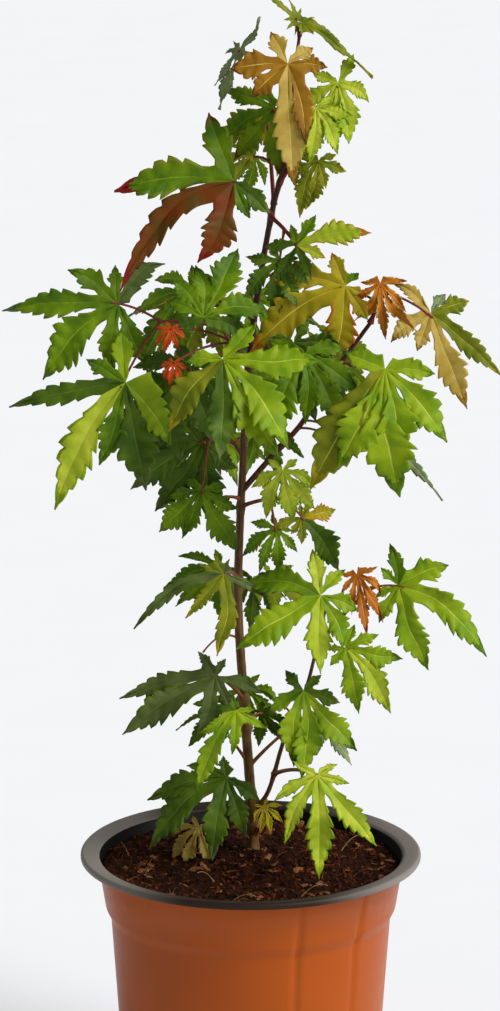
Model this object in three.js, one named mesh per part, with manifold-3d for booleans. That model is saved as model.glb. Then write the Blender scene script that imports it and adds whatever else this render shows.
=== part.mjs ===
// A young japanese maple, about 440 mm tall, growing in a thin plastic nursery pot.
// Millimetres, +Z up. The origin is the centre of the pot's flat underside, +X is the right
// of the plant and -Y its front. The pot, the soil, the trunk and two boughs are solids of
// their own. Every group of leaves is one more solid: a stem, its petioles and its blades,
// fused, that ends 0.3 mm clear of the limb which carries it.

import * as THREE from "three";
import { mergeVertices } from "three/addons/utils/BufferGeometryUtils.js";
import Module from "manifold-3d";

const wasm = await Module();
wasm.setup();

// ---------------------------------------------------------------- driving dimensions

// Clearance between two solids that touch on the real plant.
const GAP = 0.3;

// The pot: a thermoformed cup with a flat rolled rim and a stepped collar.
const POT = {
  height: 117.5,
  rimRadius: 65,
  rimWidth: 6.4,
  lipDrop: 3,
  collarDepth: 21.5,
  collarTop: 58.6,
  collarFoot: 55.5,
  bodyTop: 53.5,
  baseRadius: 47.2,
  wall: 1,
  floor: 1.2,
  heelWidth: 0.7,
  heelHeight: 1.5,
  ledgeDrop: 4,
  rimDepth: 2,
  lipWidth: 1.4,
  edgeRound: 0.8,
  topRound: 1,
  throatRound: 1.4,
  ledgeInside: 3.3,
  collarInside: 0.5,
  sides: 32,
};

// The underside: a flat centre and a flat foot ring, with a raised channel for the drain holes.
// The inner face of the channel lies `skin` further in than its outer face.
const FOOT = { centre: 18, channelIn: 20, channelOut: 41, ring: 43, lift: 3, skin: 0.8 };
const DRAIN = { count: 8, radius: 3, circle: 31, sides: 12 };

// The compost: low along the wall, mounded round the foot of the trunk.
// `rings` are the radii of its top surface, `waveX` and `waveY` set how far apart its bumps lie.
const SOIL = {
  edge: 111.5,
  edgeFace: 1,
  mound: 113.6,
  flat: 14,
  spread: 46,
  bump: 0.6,
  waveX: 0.35,
  waveY: 0.31,
  rise: 3,
  slack: 0.05,
  rings: [46, 34, 22, 10, 0],
};

// The trunk runs from its flat cut on the compost to where the top shoot takes over.
const TRUNK = {
  path: [
    [1, 12, SOIL.mound + GAP],
    [0.6, 12, 128],
    [-2.5, 11, 173],
    [-4.7, 10, 213],
    [-3, 9, 263],
    [-0.2, 8, 310],
    [8, 6, 363],
    [12.6, 5, 381],
  ],
  foot: 2,
  tip: 0.95,
  flare: 0.7,
  flareHeight: 6,
  cut: 0.5,
  sides: 8,
  rings: 26,
};

// Both boughs start on the trunk's axis and are cut clear of its bark.
const RIGHT_BOUGH = {
  path: [
    [-3.3, 9, 256],
    [9, 7.5, 271],
    [18.5, 6, 282],
    [30, 4, 301],
    [44.5, 2, 322],
  ],
  foot: 1.15,
  tip: 0.75,
  sides: 6,
  rings: 14,
};
const LOW_BOUGH = {
  path: [
    [0.4, 12, 129],
    [6, 10, 136],
    [12.8, 7, 159],
    [21, 4, 180],
    [27, 2, 207],
  ],
  foot: 0.9,
  tip: 0.6,
  sides: 6,
  rings: 16,
};

// A leaf has seven lobes, given by the angle from the middle lobe and the share of its length.
const LOBES = [
  [-128, 0.34],
  [-80, 0.66],
  [-39, 0.92],
  [0, 1],
  [39, 0.92],
  [80, 0.66],
  [128, 0.34],
];

// The edge of one lobe: how far along it, and how far out as a share of its half width.
const LOBE_EDGE = [
  { along: 0.42, out: 1 },
  { along: 0.64, out: 0.78 },
];
const SMALL_LOBE_EDGE = [{ along: 0.5, out: 1 }];

const LEAF = {
  halfWidth: 0.15,
  midrib: 0.55,
  sinus: 0.25,
  sinusLeast: 0.55,
  sinusShare: 0.5,
  smallLobe: 0.5,
  backSinus: 0.1,
  backAngle: 158,
  backRoom: 12,
  backMost: 176,
  sector: 0.85,
  widestSector: 60,
  sinusOfLobe: 0.45,
  notch: 0.05,
  thickness: 1,
  hub: 1.5,
  fold: 0.22,
  droop: 0.35,
  angleJitter: 4,
  lengthJitter: 0.06,
};

// A petiole starts no further along its stem than `last`, and one under `shortest` is left out.
const PETIOLE = { radius: 0.55, arch: 0.14, sides: 3, rings: 4, sink: 0.05, last: 0.98, shortest: 3 };
const STEM = { foot: 0.85, tip: 0.6, arch: 0.1, sides: 4, rings: 4 };

// The sprays. `from` is the limb and the height at which the stem leaves it, `to` is the stem's
// tip, and `reach` is the radius of the space round that tip which the spray keeps to.
// A row of `leaves` is one leaf: the place on the stem (0 to 1), the x, y and z of the blade's
// base, the length of its middle lobe, and three angles. The turn is the way that lobe points
// seen from the front (0 right, 90 up), the lean is how far it comes forward, and the roll is
// how far the blade faces up from there. Then come the width of its lobes as a share of the
// usual one and, for a leaf of its own shape, the angle and share of each of the seven lobes,
// with the width again for a lobe that is narrower or wider than the rest of its leaf.
// `grow` adds opposite pairs of leaves by the seeded rule, on the side that `facing` turns to.
const SPRAYS = [
  { name: "crown_top_spray", from: ["trunk", 381], to: [18, 1, 430], reach: 90, seed: 11, leaves: [
    [1, 19, 0, 434, 32, -23, 10, 55, 0.6,
      [[-125, 0.15], [-70, 0.2], [-30, 0.2], [0, 1, 0.6], [16, 0.45], [75, 0.2], [125, 0.15]]],
    [0.98, 17, 0, 435, 20, 131, 10, 40, 0.6,
      [[-125, 0.2], [-70, 0.3], [-30, 0.4], [0, 1], [35, 0.3], [75, 0.3], [125, 0.3]]],
    [0.7, 13.5, -14, 421, 43, -86, 20, 5, 1.1,
      [[-160, 0.3], [-92, 0.5, 1.2], [-60, 0.42], [0, 1, 0.7], [14, 0.72, 0.6],
       [87, 0.36], [122, 0.25]]],
    [0.7, -4, 12, 423, 23, -114, 0, 40, 0.6,
      [[-110, 0.2], [-60, 0.3], [-20, 0.8], [0, 1], [30, 0.4], [90, 0.2], [155, 0.6]]],
    [0.3, 9, 12, 401, 29, -135, 8, 15, 1.25,
      [[-100, 0.4], [-70, 0.7], [-35, 0.9], [0, 0.85], [40, 0.9], [80, 0.7], [120, 0.4]]],
  ] },
  { name: "crown_right_spray", from: ["trunk", 374], to: [29, 1, 398], reach: 55, seed: 12, leaves: [
    [1, 32, 0, 412, 25, -92, 20, 5, 1.3,
      [[-110, 0.4], [-60, 0.7], [-25, 1], [0, 1], [25, 0.95], [78, 0.55], [150, 0.5]]],
    [0.8, 24, -8, 404, 21, -86, 20, 5, 1.25],
    [0.5, 25, -5, 384, 22, -100, 10, 5, 1.2,
      [[-110, 0.3], [-60, 0.4], [-25, 1], [0, 0.8], [25, 0.5], [80, 0.5], [120, 0.3]]],
  ] },
  { name: "red_tip_leaf", from: ["trunk", 362], to: [-6, -10, 377], reach: 75, seed: 13, leaves: [
    [1, -6, -10, 377, 58, -157, 14, 15, 1.15,
      [[-140, 0.2], [-98, 0.45], [-40, 0.73], [0, 0.95, 0.6], [44, 0.58, 1.1],
       [81, 0.24], [115, 0.3]]],
  ] },
  { name: "upper_right_leaf", from: ["trunk", 361], to: [17, -8, 353], reach: 45, seed: 14, leaves: [
    [1, 17, -8, 353, 28, 28, 10, 20, 1.15,
      [[-145, 0.5], [-85, 0.5], [-38, 0.45], [0, 1], [35, 0.5], [80, 0.3], [150, 0.45]]],
    [0.5, 11, -7, 347, 21, -110, 10, 10, 1.3],
  ] },
  { name: "high_left_spray", from: ["trunk", 316], to: [-34, -6, 324], reach: 85, seed: 15, leaves: [
    [1, -49, -8, 331, 46, 165, 8, 15, 1.1,
      [[-104, 0.48], [-70, 0.3], [-38, 0.5], [-5, 0.96, 0.75], [41, 0.9, 1.2],
       [88, 0.55], [128, 0.55]]],
    [1, -46, -20, 304, 55, -133, 12, 10, 1.15,
      [[-135, 0.35], [-80, 0.32], [-47, 0.85, 0.5], [0, 1, 0.8], [24, 0.55, 0.8],
       [51, 0.7], [88, 0.5]]],
  ] },
  { name: "front_centre_spray", from: ["trunk", 304], to: [-8, -20, 320], reach: 70, seed: 16, leaves: [
    [1, -17, -24, 329, 31, 85, -25, 0, 1.35,
      [[-90, 0.65], [-52, 0.8], [-20, 1], [0, 0.65], [30, 0.58], [62, 0.5], [110, 0.4]]],
    [1, -10, -36, 316, 46, -63, 26, 5, 1.2,
      [[-125, 0.3], [-80, 0.74], [-20, 0.86], [3, 0.84], [26, 0.86, 1.1], [66, 0.78], [115, 0.4]]],
    [0.9, -29, -28, 326, 10, -110, 20, 20, 1],
    [0.8, -28, -32, 314, 9, -100, 20, 20, 1],
    [0.5, -22, -14, 309, 31, -118, 12, 8, 1.3],
  ] },
  { name: "centre_right_leaf", from: ["trunk", 309], to: [20, -26, 315], reach: 60, seed: 17, leaves: [
    [1, 20, -22, 315, 33, -84, 26, 5, 1.3,
      [[-115, 0.45], [-72, 0.9], [-36, 1], [0, 0.78, 0.8], [28, 0.85], [60, 0.7], [110, 0.45]]],
    [0.5, 16, -15, 318, 30, -72, 4, 8, 1.3],
  ] },
  { name: "bronze_spray", from: ["right_bough", 322], to: [50, 0, 334], reach: 70, seed: 18, leaves: [
    [0.6, 35, -8, 338, 45, -166, 0, 10, 1.35,
      [[-140, 0.15], [-83, 0.3], [-33, 0.62], [0, 1], [73, 0.62], [109, 0.34], [140, 0.15]]],
    [0.8, 48, -3, 338, 24, -88, 15, 5, 0.8,
      [[-100, 0.3], [-60, 0.55], [-25, 0.8], [0, 0.88], [22, 0.9], [50, 0.6], [100, 0.4]]],
    [1, 67, 0, 326, 36, -69, 16, 10, 1.05,
      [[-162, 0.5, 0.6], [-88, 0.5], [-45, 0.4], [3, 1, 0.7], [36, 0.97, 0.55],
       [92, 0.42, 1.2], [130, 0.25]]],
  ] },
  { name: "right_green_spray", from: ["right_bough", 306], to: [50, -8, 304], reach: 70, seed: 19, leaves: [
    [1, 49, -34, 312, 50, -104, 20, 5, 1.05,
      [[-98, 0.32], [-26, 1], [-9, 0.85], [5, 0.9], [25, 0.68], [65, 0.67], [104, 0.36]]],
    [0.8, 49, 12, 276, 36, -38, 0, 40, 0.35,
      [[-125, 0.15], [-80, 0.25], [-40, 0.35], [0, 1], [40, 0.3], [80, 0.2], [125, 0.15]]],
  ] },
  { name: "mid_left_spray", from: ["trunk", 283], to: [-16, 7, 276], reach: 55, seed: 20, leaves: [
    [0.9, -18, 8, 275, 32, -166, 10, 12, 1.4,
      [[-90, 0.4], [-60, 0.6], [-32, 0.85], [0, 1], [42, 0.95], [82, 0.9], [125, 0.5]]],
    [0.6, -33, 2, 296, 30, -110, 8, 8, 1.3],
    [1, -18, 2, 258, 28, -98, 10, 8, 1.3,
      [[-120, 0.3], [-75, 0.5], [-42, 0.78, 1.3], [-18, 0.7], [34, 1, 1.1],
       [68, 0.55], [110, 0.3]]],
  ] },
  { name: "mid_right_spray", from: ["trunk", 250], to: [12, -4, 256], reach: 45, seed: 21, leaves: [
    [0.8, 12, -12, 269, 20, -85, 20, 5, 1.25],
    [1, 19, 0, 248, 25, -38, 0, 15, 1.2,
      [[-128, 0.5], [-80, 0.3], [-45, 0.4], [-4, 1, 1.5], [57, 0.55, 1.2], [95, 0.35], [125, 0.2]]],
    [0.7, 10, -2, 244, 17, -125, 15, 10, 1.1],
  ] },
  { name: "low_right_spray", from: ["low_bough", 207], to: [29, -6, 216], reach: 60, seed: 22, leaves: [
    [1, 26, -20, 223, 37, -150, 14, 12, 1.2,
      [[-152, 0.35], [-116, 0.5], [-64, 0.78], [-3, 0.96], [50, 0.78], [94, 0.6], [138, 0.4]]],
    [0.7, 35.5, -20, 203, 31, -33, 16, 10, 1.1,
      [[-140, 0.2], [-100, 0.3], [-40, 0.82], [0, 1], [22, 0.7], [62, 0.42], [110, 0.3]]],
  ] },
  { name: "outer_right_spray", from: ["low_bough", 196], to: [46, 4, 220], reach: 60, seed: 23, leaves: [
    [0.9, 40, 0, 226, 23, -75, 15, 5, 0.75,
      [[-100, 0.3], [-60, 0.4], [-25, 0.7], [0, 1], [20, 0.9], [55, 0.5], [100, 0.35]]],
    [1, 56, 2, 221, 41, -12, 8, 12, 1.1,
      [[-148, 0.25], [-110, 0.4], [-66, 0.82], [0, 1], [48, 0.5, 1.3], [110, 0.42], [150, 0.25]]],
  ] },
  { name: "low_left_leaf", from: ["trunk", 222], to: [-10, -18, 231], reach: 60, seed: 24, leaves: [
    [1, -10, -18, 231, 40, -174, 8, 12, 0.6,
      [[-110, 0.15], [-70, 0.2], [-35, 0.25], [0, 1, 0.8], [40, 0.55],
       [93, 0.78, 1.2], [148, 0.45]]],
  ] },
  { name: "dark_left_leaf", from: ["trunk", 174], to: [-13, -10, 189], reach: 60, seed: 25, leaves: [
    [1, -13, -10, 189, 39, -160, 10, 20, 1,
      [[-130, 0.2], [-85, 0.3], [-20, 0.96, 0.8], [0, 1, 1.1], [52, 0.62],
       [92, 0.35], [148, 0.45]]],
  ] },
  { name: "dark_front_leaf", from: ["trunk", 163], to: [-5.5, -18, 178], reach: 55, seed: 26, leaves: [
    [1, -5.5, -18, 178, 34, -128, 14, 10, 0.75,
      [[-125, 0.2], [-70, 0.25], [-25, 0.5], [0, 1], [34, 0.5], [95, 0.4], [130, 0.2]]],
  ] },
  { name: "low_centre_spray", from: ["low_bough", 168], to: [20, -8, 179], reach: 50, seed: 27, leaves: [
    [1, 20, -12, 184, 34, -77, 20, 8, 1.15,
      [[-145, 0.3], [-79, 0.48], [-32, 0.8], [0, 1], [30, 0.92], [66, 0.45], [125, 0.25]]],
    [0.6, 27, -2, 170, 21, -52, 8, 20, 0.85,
      [[-125, 0.2], [-80, 0.25], [-40, 0.6], [0, 1], [35, 0.6], [80, 0.3], [125, 0.2]]],
  ] },
  { name: "rim_leaf", from: ["low_bough", 145], to: [25, -26, 155], reach: 60, seed: 28, leaves: [
    [1, 25, -26, 155, 41, -85, 22, 5, 0.8,
      [[-120, 0.25], [-72, 0.44], [-46, 0.72], [0, 1], [43, 0.88], [74, 0.3], [125, 0.2]]],
  ] },
  { name: "foot_left_leaf", from: ["trunk", 136], to: [-9, -6, 148], reach: 55, seed: 29, leaves: [
    [1, -9, -6, 148, 41, -155, 12, 25, 1.15,
      [[-100, 0.2], [-60, 0.4], [-29, 0.78], [-7, 0.95], [45, 0.82], [85, 0.6], [125, 0.4]]],
  ] },
  { name: "foot_shoot", from: ["trunk", 124], to: [5, 5, 133], reach: 20, seed: 30, leaves: [
    [1, 5, 5, 133, 11, -60, 20, 20, 1],
  ] },
  { name: "back_top_spray", from: ["trunk", 366], to: [6, 30, 396], reach: 45, seed: 31,
    facing: 180, grow: { pairs: 1, leaf: 19 } },
  { name: "back_upper_spray", from: ["trunk", 322], to: [-16, 36, 322], reach: 52, seed: 32,
    facing: 200, grow: { pairs: 1, leaf: 34 } },
  { name: "back_right_spray", from: ["trunk", 294], to: [28, 34, 306], reach: 52, seed: 33,
    facing: 145, grow: { pairs: 1, leaf: 32 } },
  { name: "back_middle_spray", from: ["trunk", 269], to: [-10, 38, 271], reach: 50, seed: 34,
    facing: 190, grow: { pairs: 1, leaf: 30 } },
  { name: "back_low_spray", from: ["trunk", 216], to: [0, 34, 212], reach: 45, seed: 35,
    facing: 170, grow: { pairs: 1, leaf: 26 } },
  { name: "back_foot_spray", from: ["trunk", 156], to: [-2, 36, 168], reach: 45, seed: 36,
    facing: 185, grow: { pairs: 1, leaf: 21 } },
];

// How the seeded rule sets a grown pair: its place on the stem, the leaf's size as a share of
// the usual one, the petiole's length, heading and rise, and the leaf's three angles.
const GROWTH = {
  firstPair: 0.45,
  pairsLength: 0.4,
  sizeLow: 0.85,
  sizeHigh: 1.1,
  petiole: 0.5,
  tipPetiole: 0.4,
  spread: 48,
  spreadJitter: 8,
  riseLow: 0.1,
  riseHigh: 0.5,
  turn: 42,
  turnJitter: 14,
  leanLow: 5,
  leanHigh: 30,
  rollLow: 10,
};

// ---------------------------------------------------------------- materials

const plastic = new THREE.MeshStandardMaterial({ color: 0xa4552c, roughness: 0.45, metalness: 0 });
const compost = new THREE.MeshStandardMaterial({ color: 0x2b1a12, roughness: 0.95, metalness: 0 });
const bark = new THREE.MeshStandardMaterial({ color: 0x5a3a1c, roughness: 0.7, metalness: 0 });

function leafMaterial(number) {
  const greens = [0x6fa51e, 0x4f8a1a, 0x86b030, 0x8a8a2a];
  return new THREE.MeshStandardMaterial({ color: greens[number % greens.length], roughness: 0.55 });
}

// ---------------------------------------------------------------- solids and meshes

// A closed geometry, with its shared vertices merged, as a solid that can be joined and cut.
function toSolid(geometry) {
  const bare = geometry.clone();
  bare.deleteAttribute("normal");
  bare.deleteAttribute("uv");
  const merged = mergeVertices(bare, 1e-4);
  const corners = merged.index.array;
  const triVerts = [];
  for (let i = 0; i < corners.length; i += 3) {
    const [a, b, c] = corners.slice(i, i + 3);
    if (a !== b && b !== c && c !== a) triVerts.push(a, b, c);
  }
  return new wasm.Manifold(new wasm.Mesh({
    numProp: 3,
    vertProperties: new Float32Array(merged.attributes.position.array),
    triVerts: new Uint32Array(triVerts),
  }));
}

// The outer body alone: a hollow sealed in by joining is filled and a loose scrap is left out.
function outerBody(solid) {
  const bodies = solid.decompose();
  return bodies.reduce((largest, body) => (body.volume() > largest.volume() ? body : largest));
}

function toMesh(name, solid, material) {
  const { vertProperties, triVerts } = solid.getMesh();
  const geometry = new THREE.BufferGeometry();
  geometry.setAttribute("position", new THREE.BufferAttribute(vertProperties, 3));
  geometry.setIndex(new THREE.BufferAttribute(triVerts, 1));
  geometry.computeVertexNormals();
  const mesh = new THREE.Mesh(geometry, material);
  mesh.name = name;
  return mesh;
}

// A profile of [radius, height] pairs turned about the Z axis.
function turned(profile, sides) {
  const points = profile.map(([radius, height]) => new THREE.Vector2(radius, height));
  return new THREE.LatheGeometry(points, sides).rotateX(Math.PI / 2);
}

// The same run of numbers for the same seed, between `low` and `high`.
function seeded(seed) {
  let state = seed;
  return (low, high) => {
    state = (state * 16807) % 2147483647;
    return low + (high - low) * (state / 2147483647);
  };
}

const vector = ([x, y, z]) => new THREE.Vector3(x, y, z);
const radians = THREE.MathUtils.degToRad;
const UP = new THREE.Vector3(0, 0, 1);
const HALVINGS = 30;

// ---------------------------------------------------------------- pot and compost

function buildPot() {
  const rim = POT.height;
  const step = rim - POT.collarDepth;
  const inner = POT.rimRadius - POT.rimWidth;
  const profile = [
    [0, 0],
    [FOOT.centre, 0],
    [FOOT.channelIn, FOOT.lift],
    [FOOT.channelOut, FOOT.lift],
    [FOOT.ring, 0],
    [POT.baseRadius - POT.heelWidth, 0],
    [POT.baseRadius, POT.heelHeight],
    [POT.bodyTop, step - POT.ledgeDrop],
    [POT.collarFoot, step],
    [POT.collarTop, rim - POT.rimDepth],
    [POT.rimRadius - POT.lipWidth, rim - POT.rimDepth],
    [POT.rimRadius - POT.lipWidth, rim - POT.lipDrop],
    [POT.rimRadius, rim - POT.lipDrop],
    [POT.rimRadius, rim - POT.topRound],
    [POT.rimRadius - POT.edgeRound, rim],
    [inner, rim],
    [inner - POT.edgeRound, rim - POT.throatRound],
    [POT.collarFoot - POT.wall, step + POT.collarInside],
    [POT.bodyTop - POT.wall, step - POT.ledgeInside],
    [POT.baseRadius - POT.wall, FOOT.lift + POT.floor],
    [POT.baseRadius - POT.heelHeight, POT.floor],
    [FOOT.ring + FOOT.skin, POT.floor],
    [FOOT.channelOut + FOOT.skin, FOOT.lift + POT.floor],
    [FOOT.channelIn - FOOT.skin, FOOT.lift + POT.floor],
    [FOOT.centre - FOOT.skin, POT.floor],
    [0, POT.floor],
  ];
  let pot = toSolid(turned(profile, POT.sides));
  for (let i = 0; i < DRAIN.count; i += 1) {
    const turn = (i / DRAIN.count) * 2 * Math.PI;
    const drill = new THREE.CylinderGeometry(DRAIN.radius, DRAIN.radius, 4 * POT.floor, DRAIN.sides);
    drill.rotateX(Math.PI / 2);
    drill.translate(DRAIN.circle * Math.cos(turn), DRAIN.circle * Math.sin(turn), FOOT.lift + POT.floor / 2);
    pot = pot.subtract(toSolid(drill));
  }
  return toMesh("pot", pot, plastic);
}

// Height of the compost: flat round the trunk's foot, then falling away to the wall.
function soilHeight(x, y) {
  const [footX, footY] = TRUNK.path[0];
  const away = Math.hypot(x - footX, y - footY);
  const fall = THREE.MathUtils.smoothstep(away, SOIL.flat, SOIL.spread);
  const bumps = SOIL.bump * Math.sin(SOIL.waveX * x + 1) * Math.cos(SOIL.waveY * y);
  const share = Math.min(1, SOIL.rise * fall);
  return SOIL.mound + (SOIL.edge - SOIL.mound) * fall + Math.min(0, bumps * share);
}

function buildSoil() {
  const step = POT.height - POT.collarDepth;
  const slack = GAP + SOIL.slack;
  const wallSlope = (POT.collarTop - POT.collarFoot) / (POT.collarDepth - POT.rimDepth);
  const wallRise = SOIL.edge - step - POT.collarInside;
  const edgeRadius = POT.collarFoot - POT.wall + wallSlope * wallRise - slack;
  const bottom = FOOT.lift + POT.floor + GAP;
  const profile = [
    [0, bottom],
    [POT.baseRadius - POT.wall - slack, bottom],
    [POT.bodyTop - POT.wall - slack, step - POT.ledgeInside],
    [POT.collarFoot - POT.wall - slack, step + POT.collarInside],
    [edgeRadius, SOIL.edge - SOIL.edgeFace],
  ];
  for (const radius of SOIL.rings) profile.push([radius, SOIL.edge]);
  const geometry = turned(profile, POT.sides);
  const places = geometry.attributes.position;
  for (let i = 0; i < places.count; i += 1) {
    const isTop = places.getZ(i) > SOIL.edge - SOIL.edgeFace / 2;
    if (isTop) places.setZ(i, soilHeight(places.getX(i), places.getY(i)));
  }
  return toMesh("soil", toSolid(geometry), compost);
}

// ---------------------------------------------------------------- limbs

// A closed cylinder whose rings are moved onto a curve, with the radius given for each ring.
function taperedTube(curve, radiusAt, sides, rings) {
  const tube = new THREE.CylinderGeometry(1, 1, 1, sides, rings);
  const frames = curve.computeFrenetFrames(rings, false);
  const places = tube.attributes.position;
  for (let i = 0; i < places.count; i += 1) {
    const ring = Math.round((places.getY(i) + 0.5) * rings);
    const share = ring / rings;
    const radius = radiusAt(share);
    const place = curve.getPointAt(share);
    place.addScaledVector(frames.normals[ring], radius * places.getZ(i));
    place.addScaledVector(frames.binormals[ring], radius * places.getX(i));
    places.setXYZ(i, place.x, place.y, place.z);
  }
  return tube;
}

function limbCurve(limb) {
  return new THREE.CatmullRomCurve3(limb.path.map(vector), false, "centripetal");
}

function limbRadius(limb, share, length) {
  const flare = limb.flare ? limb.flare * Math.exp(-(share * length) / limb.flareHeight) : 0;
  return limb.foot + (limb.tip - limb.foot) * share + flare;
}

// The limb's solid, or with a margin the space that its neighbours leave free round it.
function limbSolid(limb, margin = 0) {
  const curve = limbCurve(limb);
  const length = curve.getLength();
  const radiusAt = (share) => limbRadius(limb, share, length) + margin;
  const tube = taperedTube(curve, radiusAt, limb.sides, limb.rings);
  if (limb.cut) cutFlat(tube, limb.path[0][2], limb.cut);
  const solid = toSolid(tube);
  if (margin === 0) return solid;
  const end = curve.getPointAt(1).addScaledVector(curve.getTangentAt(1), margin / 2);
  const cap = new THREE.SphereGeometry(limb.tip + margin, limb.sides, limb.sides);
  cap.translate(end.x, end.y, end.z);
  return solid.add(toSolid(cap));
}

// The first ring of a standing limb, all that lies below the cut, is flat at the foot's height.
function cutFlat(tube, footHeight, cut) {
  const places = tube.attributes.position;
  for (let i = 0; i < places.count; i += 1) {
    if (places.getZ(i) < footHeight + cut) places.setZ(i, footHeight);
  }
}

// The point on a limb's axis at a height, found by halving the range that holds it.
function limbPoint(limb, height) {
  const curve = limbCurve(limb);
  let low = 0;
  let high = 1;
  for (let i = 0; i < HALVINGS; i += 1) {
    const middle = (low + high) / 2;
    if (curve.getPointAt(middle).z < height) low = middle;
    else high = middle;
  }
  return curve.getPointAt(low);
}

// ---------------------------------------------------------------- leaves

// The three directions of a leaf: along its middle lobe, across the blade, and out of its face.
function leafAxes(turn, lean, roll, facing) {
  const right = new THREE.Vector3(Math.cos(radians(facing)), Math.sin(radians(facing)), 0);
  const front = new THREE.Vector3(Math.sin(radians(facing)), -Math.cos(radians(facing)), 0);
  const along = right.clone().multiplyScalar(Math.cos(radians(turn)));
  along.addScaledVector(UP, Math.sin(radians(turn))).multiplyScalar(Math.cos(radians(lean)));
  along.addScaledVector(front, Math.sin(radians(lean)));
  const face = front.clone().addScaledVector(along, -front.dot(along)).normalize();
  const rise = along.clone().cross(face);
  if (rise.z < 0) rise.negate();
  face.multiplyScalar(Math.cos(radians(roll))).addScaledVector(rise, Math.sin(radians(roll)));
  return { along, face, across: face.clone().cross(along) };
}

// The seeded differences between one leaf and the next.
function leafShape(random, lobes) {
  return lobes.map(([angle, share, width = 1]) => ({
    angle: angle + random(-LEAF.angleJitter, LEAF.angleJitter),
    share: share * (1 + random(-LEAF.lengthJitter, LEAF.lengthJitter)),
    width,
  }));
}

// A blade is a thin lens over its lobed outline. Its lobes droop and fold along their midribs,
// and each lobe stays within its own sector, halfway to the lobes beside it.
function bladeGeometry(leaf, shape, margin = 0) {
  const { along, across, face } = leafAxes(leaf.turn, leaf.lean, leaf.roll, leaf.facing);
  const size = leaf.size + margin;
  const base = vector(leaf.at);

  function pointAt(angle, distance, aside) {
    const way = along.clone().multiplyScalar(Math.cos(angle)).addScaledVector(across, Math.sin(angle));
    const side = across.clone().multiplyScalar(Math.cos(angle)).addScaledVector(along, -Math.sin(angle));
    way.addScaledVector(UP, (-LEAF.droop * distance) / size).normalize();
    const place = base.clone().addScaledVector(way, distance).addScaledVector(side, aside);
    return place.addScaledVector(face, LEAF.fold * Math.abs(aside));
  }

  const upper = [];
  const lower = [];
  const faces = [];

  // A rim corner is shared by both faces of the blade, an inner corner has one on each.
  function corner(place, thickness) {
    const half = thickness > 0 ? thickness / 2 + margin : 0;
    upper.push(place.clone().addScaledVector(face, half));
    lower.push(place.clone().addScaledVector(face, -half));
    return upper.length - 1;
  }

  const hub = corner(base, LEAF.hub);
  const backAngleOf = (lobe) =>
    Math.min(LEAF.backMost, Math.max(LEAF.backAngle, Math.abs(lobe.angle) + LEAF.backRoom));
  const backSinusOf = (lobe, sign) => {
    const depth = Math.min(LEAF.backSinus, LEAF.sinusOfLobe * lobe.share);
    return corner(pointAt(sign * radians(backAngleOf(lobe)), depth * size, 0), 0);
  };
  const sinuses = [backSinusOf(shape[0], -1)];
  for (let i = 1; i < shape.length; i += 1) {
    const angle = radians((shape[i - 1].angle + shape[i].angle) / 2);
    const shorter = Math.min(shape[i - 1].share, shape[i].share);
    const depth = LEAF.sinus * Math.min(1, LEAF.sinusLeast + LEAF.sinusShare * shorter);
    sinuses.push(corner(pointAt(angle, Math.min(depth, LEAF.sinusOfLobe * shorter) * size, 0), 0));
  }
  sinuses.push(backSinusOf(shape[shape.length - 1], 1));
  const notch = corner(pointAt(Math.PI, LEAF.notch * size, 0), 0);
  faces.push([hub, notch, sinuses[0]], [hub, sinuses[shape.length], notch]);

  shape.forEach((lobe, i) => {
    const { angle, share, width } = lobe;
    const turn = radians(angle);
    const length = share * size;
    const edge = share > LEAF.smallLobe ? LOBE_EDGE : SMALL_LOBE_EDGE;
    const halfWidth = LEAF.halfWidth * length * leaf.width * width;
    const sideCorners = (sign) => {
      const gap = i + sign in shape
        ? Math.abs(shape[i + sign].angle - angle) / 2
        : backAngleOf(lobe) - Math.abs(angle);
      const room = LEAF.sector * Math.tan(radians(Math.min(gap, LEAF.widestSector)));
      return edge.map(({ along: far, out }) => {
        const aside = Math.min(out * halfWidth, far * length * room);
        return corner(pointAt(turn, far * length, sign * aside), 0);
      });
    };
    const right = [sinuses[i], ...sideCorners(-1)];
    const left = [sinuses[i + 1], ...sideCorners(1)];
    const rib = corner(pointAt(turn, LEAF.midrib * length, 0), LEAF.thickness);
    const tip = corner(pointAt(turn, length, 0), 0);
    faces.push([hub, right[0], right[1]], [hub, right[1], rib], [hub, rib, left[1]], [hub, left[1], left[0]]);
    for (let k = 1; k < edge.length; k += 1) {
      faces.push([rib, right[k], right[k + 1]], [rib, left[k + 1], left[k]]);
    }
    faces.push([rib, right[edge.length], tip], [rib, tip, left[edge.length]]);
  });

  const corners = [];
  for (const [a, b, c] of faces) corners.push(upper[a], upper[b], upper[c], lower[a], lower[c], lower[b]);
  return new THREE.BufferGeometry().setFromPoints(corners);
}

// A stem or petiole that arches a little on its way from one point to another.
function archedTube(start, end, radiusStart, radiusEnd, arch, sides, rings) {
  const middle = start.clone().lerp(end, 0.5).addScaledVector(UP, arch * start.distanceTo(end));
  const curve = new THREE.QuadraticBezierCurve3(start, middle, end);
  const radiusAt = (share) => radiusStart + (radiusEnd - radiusStart) * share;
  return { curve, geometry: taperedTube(curve, radiusAt, sides, rings) };
}

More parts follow.
